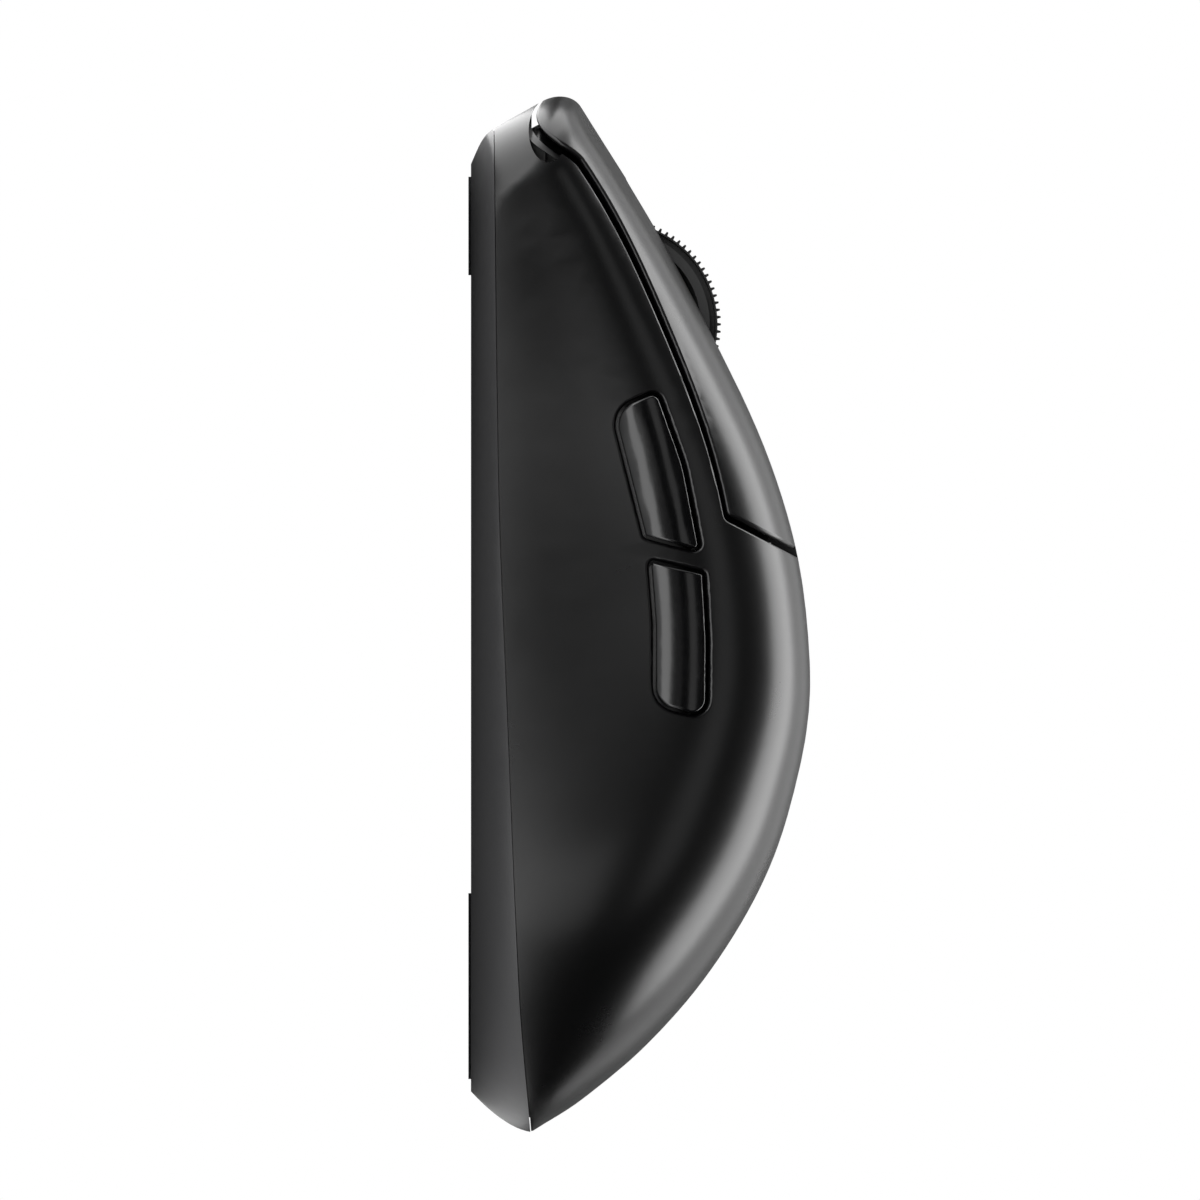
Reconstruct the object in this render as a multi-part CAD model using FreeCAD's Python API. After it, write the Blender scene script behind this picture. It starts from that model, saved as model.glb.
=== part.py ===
"""A right-handed wireless gaming mouse, as the separate pieces that it comes apart into.

Frame: +Z up, +Y towards the nose, +X to the mouse's right. The origin is on the surface that the
mouse stands on, under the middle of its length. All lengths are in millimetres.

The outer skin is one smooth form. It is a stack of cross-sections that run from the tail to the nose,
each a superellipse arch that springs from the belt line, where the mouse is widest. The top shell and
the two click plates are cut from that form, and the base tray hangs below the belt line.
"""

import FreeCAD, Part

import os
from math import asin, atan2, cos, degrees, hypot, pi, sin, sqrt

Vec = FreeCAD.Vector
X_AXIS, Y_AXIS, Z_AXIS = Vec(1, 0, 0), Vec(0, 1, 0), Vec(0, 0, 1)

# Outer form: each pair is a place along the mouse and a size there
CROWN_HEIGHT = ((-60.5, 7.4), (-56.8, 13.2), (-49.8, 21.4), (-40.4, 29.2), (-28.7, 35.6), (-14.7, 39.4),
                (-6.0, 39.95), (6.4, 38.6), (18.1, 35.2), (30.0, 29.9), (45.3, 21.9), (59.7, 13.0),
                (66.0, 9.1))
BELT_HEIGHT = ((-60.5, 7.3), (-45.0, 6.0), (-10.0, 4.5), (13.0, 3.6), (57.0, 3.0))
BELT_HALF_WIDTH = ((-60.5, 31.6), (-30.0, 31.6), (-8.0, 29.6), (12.0, 28.3), (32.0, 28.7), (57.0, 29.2))
ARCH_FULLNESS = ((-60.5, 2.2), (-40.0, 2.6), (-22.0, 3.0), (0.0, 3.6), (57.0, 3.6))
TAIL_Y = -60.5
TAIL_TAPER_Y = -20.0
NOSE_Y = 56.9
NOSE_CORNER_LENGTH = 9.0
NOSE_CORNER_WIDTH = 16.0
NOSE_ROUND = 3.1
NOSE_LEAN = 0.56
LEAN_START_Y = 25.0
WAIST_HOLLOW = 0.7
GROOVE_DEPTH = 0.7
GROOVE_X = 14.0
GROOVE_WIDTH = 7.0

# Walls, gaps and feet
SHELL_WALL = 1.5
PLATE_WALL = 1.6
BASE_WALL = 1.9
FLOOR_WALL = 1.4
PART_LINE = 0.1
LIP_WALL = 1.0
LIP_HEIGHT = 1.3
FOOT_PROUD = 0.3
FOOT_THICKNESS = 0.7
FOOT_MARGIN = 1.6
FOOT_CLEARANCE = 0.2
FRONT_FOOT_Y = 39.7
REAR_FOOT_Y = -32.6
FRONT_FOOT_HOLLOW = (16.0, 6.2)
REAR_FOOT_HOLLOW = (14.5, 14.2)
BASE_UNDERCUT = ((-60.5, 4.7), (-44.0, 3.2), (-20.0, 2.4), (30.0, 2.4), (57.0, 4.2))

# Seam between the click plates and the shell, drawn in side view as (y, z)
SIDE_SEAM = ((52.5, 12.7), (44.6, 17.45), (33.1, 22.75), (22.7, 26.85), (11.1, 29.95))
REAR_SEAM = ((11.1, 29.95), (9.0, 34.0), (6.8, 38.2), (4.4, 42.5))
NOSE_SEAM = ((66.0, 11.9), (60.4, 9.2), (57.6, 7.75), (55.0, 9.4), (53.6, 11.4), (52.5, 12.7))
SEAM_GAP_Y = 0.6
SEAM_GAP_Z = 0.22
SEAM_CORNER = 1.0
NOTCH_CENTRE = (56.6, 9.35)
NOTCH_HALF = (3.7, 2.3)
NOTCH_RIB_X = ((12.2, 13.4), (16.6, 17.6))
NOTCH_RIB_REAR_Y = 52.2
NOTCH_RIB_TOP = (12.0, 9.0)
SEAM_LIP_INSET = 2.1
SEAM_LIP_THICKNESS = 0.9
SEAM_LIP_REACH = (1.6, 1.5)
SEAM_LIP_X = 17.6
SEAM_TAB_HALF_WIDTH = 2.5
SEAM_TAB_REACH = 1.3
PLATE_SPLIT = 1.0
PLATE_ROUND = 0.38
SEAM_ROUND = 0.35
HOLE_ROUND = 0.45

# Scroll wheel and its slot
WHEEL_Y = 33.95
WHEEL_Z = 17.1
TYRE_RADIUS = 12.05
TYRE_WIDTH = 6.6
TREAD_HEIGHT = 0.4
TREAD_COUNT = 90
RIM_RADIUS = 11.15
RIM_SEAT_RADIUS = 10.5
RIM_WIDTH = 6.8
DISH_RADIUS = 10.1
WEB_THICKNESS = 1.8
WINDOW_COUNT = 16
WINDOW_RADIUS = 7.6
WINDOW_SIZE = 1.05
HUB_RADIUS = 2.7
AXLE_RADIUS = 1.0
RUNNING_CLEARANCE = 0.04
SLOT_WIDTH = 8.6
SLOT_REAR_Y = 26.4
SLOT_FRONT_Y = 50.5
SLOT_CORNER = 2.2

# Wheel carriage, which pivots at its front and presses the middle switch at its rear
PIVOT_Y = 47.8
PIVOT_Z = 9.6
PIVOT_RADIUS = 0.8
ARM_THICKNESS = 1.1
ARM_GAP = 9.0
ARM_HALF_HEIGHT = 1.7
HEEL_Y = 19.2
POST_THICKNESS = 1.5

# Circuit boards
BOARD_BOTTOM = 6.0
BOARD_THICKNESS = 1.0
BOARD_HALF_WIDTH = 17.8
BOARD_REAR_Y = -16.0
BOARD_FRONT_Y = 51.5
BOARD_WING = 22.5
BOARD_WING_Y = (-12.0, 34.0)
BOARD_SCREWS = ((-14.0, 21.0), (14.0, 21.0), (-14.0, -12.0), (14.0, -12.0))
BOARD_POST_RADIUS = 2.3
BOARD_SCREW_RADIUS = 0.7
BOARD_SCREW_HEAD = (1.6, 0.9)
BOARD_SCREW_BITE = 3.2
BOARD_CHIPS = ((11.5, 8.5, 7.0, 7.0), (-10.0, 11.5, 4.6, 4.6), (-11.5, -4.5, 4.0, 3.0),
               (11.5, -4.0, 3.2, 2.5))
SIDE_BOARD_X = -18.6
SIDE_BOARD_THICKNESS = 0.8
SIDE_BOARD_OUTLINE = ((-18.6, 19.0), (31.6, 16.8), (31.6, 21.8), (24.0, 24.6), (6.0, 28.0), (-18.6, 28.5))
SIDE_BOARD_SCREWS = ((-16.1, 22.6), (29.2, 19.4))

# Switches: length along Y, width along X, height
CLICK_SWITCH = (12.8, 5.8, 6.5)
CLICK_SWITCH_X = 14.0
CLICK_PLUNGER_Y = 44.6
CLICK_PLUNGER_SHARE = 0.6
PLUNGER_PROUD = 0.8
PLUNGER_SIZE = (2.6, 1.2)
PLUNGER_SINK = 1.4
PLUNGER_CLEARANCE = 0.06
TOUCH_GAP = 0.05
MIDDLE_SWITCH = (6.0, 6.0, 3.3)
SIDE_SWITCH = (6.4, 4.6, 3.0)

# Side buttons, each hole drawn in side view as corners (y, z, radius)
FORWARD_HOLE = ((7.15, 27.35, 0.8), (8.95, 20.5, 0.8), (24.0, 16.65, 3.2), (26.4, 22.15, 1.3),
                (17.5, 25.35, 20.0))
BACK_HOLE = ((5.0, 27.65, 0.7), (-3.0, 28.1, 40.0), (-12.4, 28.0, 1.9), (-10.6, 21.6, 3.0),
             (-1.0, 21.6, 30.0), (6.55, 21.0, 0.7))
SIDE_BUTTON_CENTRE = ((-13.0, 24.9), (-3.0, 24.85), (6.0, 24.2), (16.0, 22.2), (27.0, 19.4))
SIDE_BUTTON_HALF_HEIGHT = 3.3
SIDE_BUTTON_GAP = 0.35
SIDE_BUTTON_EDGE_PROUD = 0.3
SIDE_BUTTON_CROWN = 0.9
SIDE_BUTTON_ROUND = 0.3
SIDE_BUTTON_TRAVEL = 0.45
SIDE_FLANGE_MARGIN = 0.9
SIDE_FLANGE_THICKNESS = 1.2
SIDE_PEG_RADIUS = 1.3
FORWARD_PRESS = (16.6, 22.0)
BACK_PRESS = (-2.2, 24.6)

# Click plate tongues, the shelf that carries them and their screws
TONGUE_INSET = 2.9
TONGUE_THICKNESS = 1.2
TONGUE_Y = (1.2, 14.5)
TONGUE_ROOT_Y = 12.2
TONGUE_X = (3.2, 17.0)
SHELF_GAP = 0.15
SHELF_THICKNESS = 1.5
SHELF_Y = (1.6, 8.4)
SHELF_WEB_X = 17.6
SHELF_BOTTOM = 29.4
PLATE_SCREWS_X = (7.0, 15.0)
PLATE_SCREW_Y = 5.0
PLATE_SCREW_RADIUS = 0.7
PLATE_SCREW_HEAD = (1.5, 0.8)

# Shell screws
SHELL_SCREWS = ((-21.0, 44.0), (21.0, 44.0), (-20.0, -43.0), (20.0, -43.0))
SHELL_SCREW_RADIUS = 0.85
SHELL_SCREW_HEAD = (1.9, 1.2)
SHELL_SCREW_LENGTH = 9.5
SHELL_BOSS_RADIUS = 2.5
BASE_BOSS_RADIUS = 3.3
BASE_BOSS_TOP = 5.0
FRONT_BOSS_TOP = 13.5
BOSS_RIB = 1.6
FLOOR_RIBS_Y = (11.5, 37.0)
FLOOR_RIB_TOP = 3.6
HUMP_RIBS_Y = (-24.3, -35.2)
HUMP_RIB_DEPTH = 1.8
RIB_THICKNESS = 1.0

# Sensor, power and socket
LENS_SIZE = (19.0, 14.0)
LENS_PLATE = 1.1
LENS_WINDOW = (10.0, 7.0)
LENS_SEAT = 1.2
SENSOR_SIZE = (10.9, 16.2, 2.6)
SENSOR_APERTURE = 5.2
BATTERY_SIZE = (30.0, 22.0, 5.2)
BATTERY_FENCE = (1.0, 2.4)
CELL_TAB_LENGTH = 2.7
LEAD_RUN = 5.0
BATTERY_PAD = 0.5
SLIDER_X = -14.0
SLIDER_KNOB = (3.0, 4.4)
SLIDER_TRAVEL = 2.5
SLIDER_FLANGE = 1.0
SLIDER_FLANGE_THICKNESS = 0.7
SLIDER_RECESS = 0.45
DPI_X = 14.0
DPI_RADIUS = 2.2
DPI_TRAVEL = 0.25
SMALL_GAP = 0.2
SOCKET_SIZE = (9.0, 7.3, 3.2)
SOCKET_FRONT_Y = 56.6
SOCKET_WALL = 0.4
SOCKET_MARGIN = 0.7
WIRE_RADIUS = 0.55
RIBBON_TOP = 20.6

# Values that follow from those above
FLOOR_BOTTOM = FOOT_PROUD
BATTERY_Y = BOARD_REAR_Y + 0.2 - LEAD_RUN - CELL_TAB_LENGTH - BATTERY_SIZE[1] / 2
FLOOR_TOP = FLOOR_BOTTOM + FLOOR_WALL
BOARD_TOP = BOARD_BOTTOM + BOARD_THICKNESS
CLICK_PLUNGER_TOP = BOARD_TOP + CLICK_SWITCH[2] + PLUNGER_PROUD
MIDDLE_PLUNGER_TOP = BOARD_TOP + MIDDLE_SWITCH[2] + PLUNGER_PROUD


# Helpers

def smooth(pairs):
    """A smooth function through pairs of place and value, straight beyond the ends."""
    places = [p[0] for p in pairs]
    values = [p[1] for p in pairs]
    last = len(pairs) - 1
    slopes = []
    for i in range(last + 1):
        before, after = max(i - 1, 0), min(i + 1, last)
        slopes.append((values[after] - values[before]) / (places[after] - places[before]))

    def value(place):
        if place <= places[0]:
            return values[0] + slopes[0] * (place - places[0])
        if place >= places[last]:
            return values[last] + slopes[last] * (place - places[last])
        i = max(k for k in range(last) if places[k] <= place)
        span = places[i + 1] - places[i]
        t = (place - places[i]) / span
        return ((2 * t**3 - 3 * t**2 + 1) * values[i] + (t**3 - 2 * t**2 + t) * span * slopes[i]
                + (3 * t**2 - 2 * t**3) * values[i + 1] + (t**3 - t**2) * span * slopes[i + 1])

    return value


crown = smooth(CROWN_HEIGHT)
belt = smooth(BELT_HEIGHT)
belt_half = smooth(BELT_HALF_WIDTH)
fullness = smooth(ARCH_FULLNESS)
undercut = smooth(BASE_UNDERCUT)
side_centre = smooth(SIDE_BUTTON_CENTRE)


def ease(value, start, end):
    """0 before start, 1 after end, and a smooth step between them."""
    t = min(1.0, max(0.0, (value - start) / (end - start)))
    return t * t * (3 - 2 * t)


def box(x, y, z):
    """A box between the two values of each of x, y and z."""
    return Part.makeBox(x[1] - x[0], y[1] - y[0], z[1] - z[0], Vec(x[0], y[0], z[0]))


def centred_box(x, y, size_x, size_y, z):
    """A box centred on x, y, between the two values of z."""
    return box((x - size_x / 2, x + size_x / 2), (y - size_y / 2, y + size_y / 2), z)


def upright(x, y, radius, z):
    """A vertical cylinder between the two values of z."""
    return Part.makeCylinder(radius, z[1] - z[0], Vec(x, y, z[0]), Z_AXIS)


def crosswise(y, z, radius, x):
    """A cylinder along X between the two values of x."""
    return Part.makeCylinder(radius, x[1] - x[0], Vec(x[0], y, z), X_AXIS)


def mirrored(shape):
    """The same piece on the other side of the mouse."""
    return shape.mirror(Vec(0, 0, 0), X_AXIS)


def joined(shapes):
    """One solid made of several."""
    first, *rest = shapes
    return first.fuse(rest).removeSplitter() if rest else first


def side_prism(points, x):
    """A prism along X over a polygon drawn in side view."""
    corners = [Vec(x[0], y, z) for y, z in points]
    wire = Part.makePolygon(corners + corners[:1])
    return Part.Face(wire).extrude(Vec(x[1] - x[0], 0, 0))


def skin_edges(shape, wanted):
    """The edges of a shape's largest face whose middle points pass a test."""
    skin = max(shape.Faces, key=lambda f: f.Area)
    middles = [(edge, edge.valueAt((edge.FirstParameter + edge.LastParameter) / 2)) for edge in skin.Edges]
    return [edge for edge, middle in middles if wanted(middle)]


def largest(shape):
    """The largest solid of a shape, where a cut leaves crumbs."""
    return max(shape.Solids, key=lambda s: s.Volume)


def save(name, shape):
    """Writes a node's STEP file."""
    if not shape.isValid() or shape.Volume <= 0:
        print("not sound:", name, shape.isValid(), shape.Volume)
    shape.exportStep(os.path.join("parts", name + ".step"))


# Outer form

def tail_factor(y, tail_y):
    """How much of its full width the belt keeps as it closes round the tail."""
    share = min(1.0, max(0.0, (TAIL_TAPER_Y - y) / (TAIL_TAPER_Y - tail_y)))
    return (1 - share**3) ** (1 / 2.1)


def stations(nose_y, corner, tail_y):
    """Places along the belt for the cross-sections, closest together at the two ends."""
    tail_steps, middle_steps, nose_steps = 11, 12, 12
    shares = [0.5 / tail_steps] + [k / tail_steps for k in range(1, tail_steps + 1)]
    places = [TAIL_TAPER_Y - (TAIL_TAPER_Y - tail_y) * (1 - s * s) for s in shares]
    corner_start = nose_y - corner
    for k in range(1, middle_steps):
        places.append(TAIL_TAPER_Y + (corner_start - TAIL_TAPER_Y) * k / middle_steps)
    for k in range(nose_steps + 1):
        places.append(nose_y - corner * (1 - sin(pi / 2 * k / nose_steps)))
    return places


def belt_width_at(y, inset, nose_y, corner, tail_y):
    """Half the belt's width at a place along it, with the nose's corners rounded."""
    half = (belt_half(y) - inset) * tail_factor(y, tail_y)
    reach = nose_y - y
    if reach < corner:
        half -= (NOSE_CORNER_WIDTH - inset) * (1 - sqrt(max(0.0, 1 - (1 - reach / corner) ** 2)))
    return half


def arch(y, inset, drop, nose_y, corner, tail_y):
    """The points of one cross-section, from the belt on the right over the crown to the belt on the left."""
    columns = 28
    lean = NOSE_LEAN * ease(y, LEAN_START_Y, NOSE_Y)
    foot = belt(y) - drop
    half = belt_width_at(y, inset, nose_y, corner, tail_y)
    reach = nose_y - y
    nose_round = max(NOSE_ROUND - inset, 0.3)
    rounding = 0.0
    if reach < nose_round:
        rounding = nose_round - sqrt(nose_round**2 - (nose_round - reach) ** 2)
    crown_y = y
    for _ in range(10):
        crown_y = y + lean * (crown(crown_y) - inset - foot - drop)
    slope = crown(crown_y + 0.5) - crown(crown_y - 0.5)
    rise = crown(crown_y) - inset * min(hypot(1, slope), 1.8) - rounding - foot
    power = fullness(y)
    points = []
    for k in range(columns + 1):
        angle = pi * k / columns
        c, s = cos(angle), sin(angle)
        radius = (abs(c) ** power + abs(s) ** power) ** (1 / power)
        x, z = half * c / radius, rise * s / radius
        height = min(1.0, z / max(rise, 0.1))
        hollow = WAIST_HOLLOW * sin(pi * min(1.0, height / 0.75)) ** 2 * ease(y, -30, 0)
        hollow *= 1 - ease(y, 40, 55)
        x -= hollow * (1 if c > 0 else -1) * min(1.0, abs(c) * 2)
        groove = GROOVE_DEPTH * ease(y, 16, 46) * (1 - ease(y, NOSE_Y - 7, NOSE_Y))
        z -= groove * 2.718 ** (-(((abs(x) - GROOVE_X) / GROOVE_WIDTH) ** 2)) * s**4
        points.append(Vec(x, y + lean * (z - drop), foot + z))
    return points


def body_form(inset=0.0, drop=0.0):
    """The solid inside the skin from the belt up, moved in by inset and carried down by drop."""
    nose_y, corner, tail_y = NOSE_Y - inset, NOSE_CORNER_LENGTH - inset, TAIL_Y + inset
    grid = [arch(y, inset, drop, nose_y, corner, tail_y) for y in stations(nose_y, corner, tail_y)]
    surface = Part.BSplineSurface()
    surface.interpolate(grid)
    skin = surface.toShape()
    tail_arch, side_a, nose_arch, side_b = skin.Edges
    underside = Part.makeRuledSurface(side_a, side_b)
    caps = []
    for edge in (tail_arch, nose_arch):
        ends = [v.Point for v in edge.Vertexes]
        caps.append(Part.Face(Part.Wire([edge, Part.makeLine(ends[0], ends[-1])])))
    shell = Part.makeShell([skin, underside] + caps)
    shell.sewShape(0.001)
    solid = Part.makeSolid(Part.Shell(shell.Faces))
    if solid.Volume < 0:
        solid.reverse()
    return solid


def belt_slab(above):
    """All the space above the belt line, or below it, moved by above, as a solid cut along X."""
    reach, far = 80.0, 60.0
    steps = 24
    line = []
    for k in range(steps + 1):
        y = -reach + 2 * reach * k / steps
        line.append(Vec(-reach, y, belt(max(TAIL_Y - 4, min(NOSE_Y + 4, y))) + above))
    curve = Part.BSplineCurve()
    curve.interpolate(line)
    corners = [line[-1], Vec(-reach, reach, -far), Vec(-reach, -reach, -far), line[0]]
    return Part.Face(Part.Wire([curve.toShape(), Part.makePolygon(corners)])).extrude(Vec(2 * reach, 0, 0))


def outline(inset, height):
    """The tray's outline at one height, moved in by inset, as a closed wire."""
    nose_y, corner, tail_y = NOSE_Y - inset, NOSE_CORNER_LENGTH - inset, TAIL_Y + inset
    places = stations(nose_y, corner, tail_y)
    right = [Vec(belt_width_at(y, inset, nose_y, corner, tail_y), y, 0) for y in places]
    front = [Vec(right[-1].x * (1 - k / 4), nose_y, 0) for k in range(1, 8)]
    left = [Vec(-p.x, p.y, 0) for p in reversed(right)]
    loop = right + front + left
    moved = []
    for i, point in enumerate(loop):
        tangent = loop[(i + 1) % len(loop)] - loop[i - 1]
        inward = Vec(-tangent.y, tangent.x, 0).normalize()
        depth = (belt(point.y) - height) / (belt(point.y) - FLOOR_BOTTOM)
        share = depth**1.6 if depth > 0 else 0.05 * depth
        moved.append(point + inward * (undercut(point.y) * share) + Vec(0, 0, height))
    curve = Part.BSplineCurve()
    curve.interpolate(moved, PeriodicFlag=True)
    return Part.Wire(curve.toShape())


def tray_form(inset, bottom):
    """The solid inside the tray's outline, from bottom to above the belt line."""
    rises = (0, 0.7, 1.6, 2.8, 4.3, 6.2, 8.6)
    return Part.makeLoft([outline(inset, bottom + rise) for rise in rises], True, False)


OUTER = body_form()
INNER = body_form(SHELL_WALL, 2.0)
BELOW_BELT = belt_slab(-PART_LINE / 2)


# Seam cutters

def seam_cutter(shift_y, shift_z):
    """The space over the seam, in front of its rear line, moved by the two shifts."""
    half = 45.0

    def line(points):
        curve = Part.BSplineCurve()
        curve.interpolate([Vec(-half, y + shift_y, z + shift_z) for y, z in points])
        return curve.toShape()

    edges = [line(NOSE_SEAM), line(SIDE_SEAM), line(REAR_SEAM)]
    rear_y, rear_z = REAR_SEAM[-1]
    front_y, front_z = NOSE_SEAM[0]
    sky = rear_z + 20
    corners = ((rear_y, rear_z), (rear_y, sky), (front_y, sky), (front_y, front_z))
    edges.append(Part.makePolygon([Vec(-half, y + shift_y, z + shift_z) for y, z in corners]))
    prism = Part.Face(Part.Wire(edges)).extrude(Vec(2 * half, 0, 0))
    corner_y, corner_z = SIDE_SEAM[-1]
    for edge in prism.Edges:
        middle = edge.CenterOfMass
        if hypot(middle.y - corner_y - shift_y, middle.z - corner_z - shift_z) < 0.01:
            return prism.makeFillet(SEAM_CORNER, [edge])


def nose_notch():
    """The scoop round the click plates' lip, where the shell stands back from it."""
    half = 45.0
    y, z = NOTCH_CENTRE
    long_half, short_half = NOTCH_HALF
    ellipse = Part.Ellipse(Vec(-half, y + long_half, z), Vec(-half, y, z + short_half), Vec(-half, y, z))
    return Part.Face(Part.Wire(ellipse.toShape())).extrude(Vec(2 * half, 0, 0))


def wheel_slot():
    """The slot that the wheel stands in, as an upright prism with rounded corners."""
    half, inner = SLOT_WIDTH / 2, SLOT_WIDTH / 2 - SLOT_CORNER
    ends = (SLOT_REAR_Y + SLOT_CORNER, SLOT_FRONT_Y - SLOT_CORNER)
    z = (10.0, 60.0)
    slabs = [box((-half, half), ends, z), box((-inner, inner), (SLOT_REAR_Y, SLOT_FRONT_Y), z)]
    return joined(slabs + [upright(x, y, SLOT_CORNER, z) for x in (-inner, inner) for y in ends])


# Side buttons

def wall_x(y, z, inset=0.0, drop=0.0):
    """How far a form's skin stands from the middle at a place on the flank, clear of tail and nose."""
    foot, half, power = belt(y) - drop, belt_half(y) - inset, fullness(y)
    slope = crown(y + 0.5) - crown(y - 0.5)
    height = (z - foot) / (crown(y) - inset * hypot(1, slope) - foot)
    hollow = WAIST_HOLLOW * sin(pi * min(1.0, height / 0.75)) ** 2 * ease(y, -30, 0)
    return half * (1 - height**power) ** (1 / power) - hollow


def side_strip(inset, drop, out, bulge, depth):
    """A slab that follows a form's left flank over both side buttons.

    It starts out from the form's skin, and further by bulge along the buttons' middle line.
    """
    grid = []
    for i in range(12):
        y = -15 + 4 * i
        top = min(30.5, crown(y) - 4)
        row = []
        for k in range(13):
            z = 14.5 + (top - 14.5) * k / 12
            across = min(1.2, abs(z - side_centre(y)) / SIDE_BUTTON_HALF_HEIGHT)
            row.append(Vec(-wall_x(y, z, inset, drop) - out - bulge * (1 - across**2), y, z))
        grid.append(row)
    surface = Part.BSplineSurface()
    surface.interpolate(grid)
    return surface.toShape().extrude(Vec(depth, 0, 0))


def rounded_loop(corners, x):
    """A closed wire of straight lines and arcs in side view, from corners given as (y, z, radius)."""
    arcs = []
    for i, (y, z, radius) in enumerate(corners):
        corner = Vec(x, y, z)
        before = (Vec(x, *corners[i - 1][:2]) - corner).normalize()
        after = (Vec(x, *corners[(i + 1) % len(corners)][:2]) - corner).normalize()
        half_angle = before.getAngle(after) / 2
        run = radius * cos(half_angle) / sin(half_angle)
        middle = corner + (before + after).normalize() * (radius / sin(half_angle) - radius)
        arcs.append((corner + before * run, middle, corner + after * run))
    edges = []
    for i, (start, middle, end) in enumerate(arcs):
        edges.append(Part.Arc(start, middle, end).toShape())
        edges.append(Part.makeLine(end, arcs[(i + 1) % len(arcs)][0]))
    return Part.Wire(edges)


def side_opening(corners, grow):
    """A prism through the left flank over a side button's outline, grown or shrunk."""
    face = Part.Face(rounded_loop(corners, -45.0))
    return (face.makeOffset2D(grow) if grow else face).extrude(Vec(30.0, 0, 0))


def side_button(corners, press):
    """A side button: a crowned cap, a flange behind the wall and a peg that meets its switch."""
    press_y, press_z = press
    cap_depth = SIDE_BUTTON_EDGE_PROUD + 1.5 * SHELL_WALL + SMALL_GAP + SIDE_FLANGE_THICKNESS / 2
    cap = side_strip(0, 0, SIDE_BUTTON_EDGE_PROUD, SIDE_BUTTON_CROWN, cap_depth)
    cap = cap.common(side_opening(corners, -SIDE_BUTTON_GAP))
    flange = side_strip(SHELL_WALL, 2.0, -SMALL_GAP, 0, SIDE_FLANGE_THICKNESS)
    flange = flange.common(side_opening(corners, SIDE_FLANGE_MARGIN))
    flange_x = -wall_x(press_y, press_z, SHELL_WALL, 2.0) + SMALL_GAP + SIDE_FLANGE_THICKNESS / 2
    peg = crosswise(press_y, press_z, SIDE_PEG_RADIUS, (flange_x, side_plunger_x() - TOUCH_GAP))
    button = joined([cap, flange, peg])
    rim = []
    for edge in button.Edges:
        middle = edge.valueAt((edge.FirstParameter + edge.LastParameter) / 2)
        if middle.x < -wall_x(middle.y, middle.z) - SIDE_BUTTON_EDGE_PROUD / 2:
            rim.append(edge)
    return button.makeFillet(SIDE_BUTTON_ROUND, rim)


def side_plunger_x():
    """The outer end of the side switches' plungers."""
    return SIDE_BOARD_X - SIDE_SWITCH[2] - PLUNGER_PROUD


# Shells

def top_shell():
    """The hump, both side walls and the chin in one moulding, with its bosses and shelf."""
    shell = OUTER.cut(INNER).cut(belt_slab(PART_LINE / 2))
    shell = largest(shell.cut([seam_cutter(0, 0), nose_notch()]))
    seam_sides = skin_edges(shell, lambda m: abs(m.x) > 20 and 20 < m.z < 26)
    shell = shell.makeFillet(SEAM_ROUND, seam_sides)
    shell = largest(shell.cut([side_opening(FORWARD_HOLE, 0), side_opening(BACK_HOLE, 0)]))
    hole_rims = skin_edges(shell, lambda m: m.x < -25 and 16 < m.z < 29 and m.y < 27)
    shell = shell.makeFillet(HOLE_ROUND, hole_rims)
    shelf_top = TONGUE_INSET + TONGUE_THICKNESS + SHELF_GAP
    low = body_form(shelf_top + SHELF_THICKNESS, 2.0)
    shelf = body_form(shelf_top, 2.0).cut(low).common(box((-40, 40), SHELF_Y, (SHELF_BOTTOM, 60)))
    webs = body_form(SHELL_WALL / 2, 2.0).cut(low).common(box((SHELF_WEB_X, 40), SHELF_Y, (SHELF_BOTTOM, 60)))
    added = [largest(shelf), largest(webs), largest(mirrored(webs))]
    inside = body_form(SHELL_WALL / 2, 2.0)
    for x, y in SHELL_SCREWS:
        side = 1 if x > 0 else -1
        if y > 0:
            height = (BASE_BOSS_TOP + 0.05, FRONT_BOSS_TOP)
            rib = box(sorted((x, x + side * 12)), (y - BOSS_RIB / 2, y + BOSS_RIB / 2), height)
            added.append(upright(x, y, SHELL_BOSS_RADIUS, height))
            added.append(largest(rib.common(inside)))
        else:
            boss = upright(x, y, SHELL_BOSS_RADIUS, (BASE_BOSS_TOP + 0.05, 60))
            added.append(largest(boss.common(inside)))
    for y, z in SIDE_BOARD_SCREWS:
        added.append(largest(crosswise(y, z, 2.0, (-45, SIDE_BOARD_X)).common(inside)))
    hollow = body_form(SHELL_WALL + HUMP_RIB_DEPTH, 2.0)
    for y in HUMP_RIBS_Y:
        slice_y = (y - RIB_THICKNESS / 2, y + RIB_THICKNESS / 2)
        added.append(largest(inside.cut(hollow).common(box((-40, 40), slice_y, (14, 60)))))
    added += notch_ribs() + seam_lips(inside) + [seam_tab(low)]
    shell = shell.fuse(added)
    cuts = [socket_opening()]
    for x, y in SHELL_SCREWS:
        cuts.append(upright(x, y, SHELL_SCREW_RADIUS + 0.02, (0, BASE_BOSS_TOP + SHELL_SCREW_LENGTH - 2)))
    for side in (-1, 1):
        for x in PLATE_SCREWS_X:
            cuts.append(upright(side * x, PLATE_SCREW_Y, PLATE_SCREW_RADIUS + 0.02, (25, shelf_level(x) + 1)))
    for y, z in SIDE_BOARD_SCREWS:
        bite = (SIDE_BOARD_X - BOARD_SCREW_BITE - 0.3, SIDE_BOARD_X + 1)
        cuts.append(crosswise(y, z, BOARD_SCREW_RADIUS + 0.02, bite))
    return largest(shell.cut(cuts))


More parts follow.
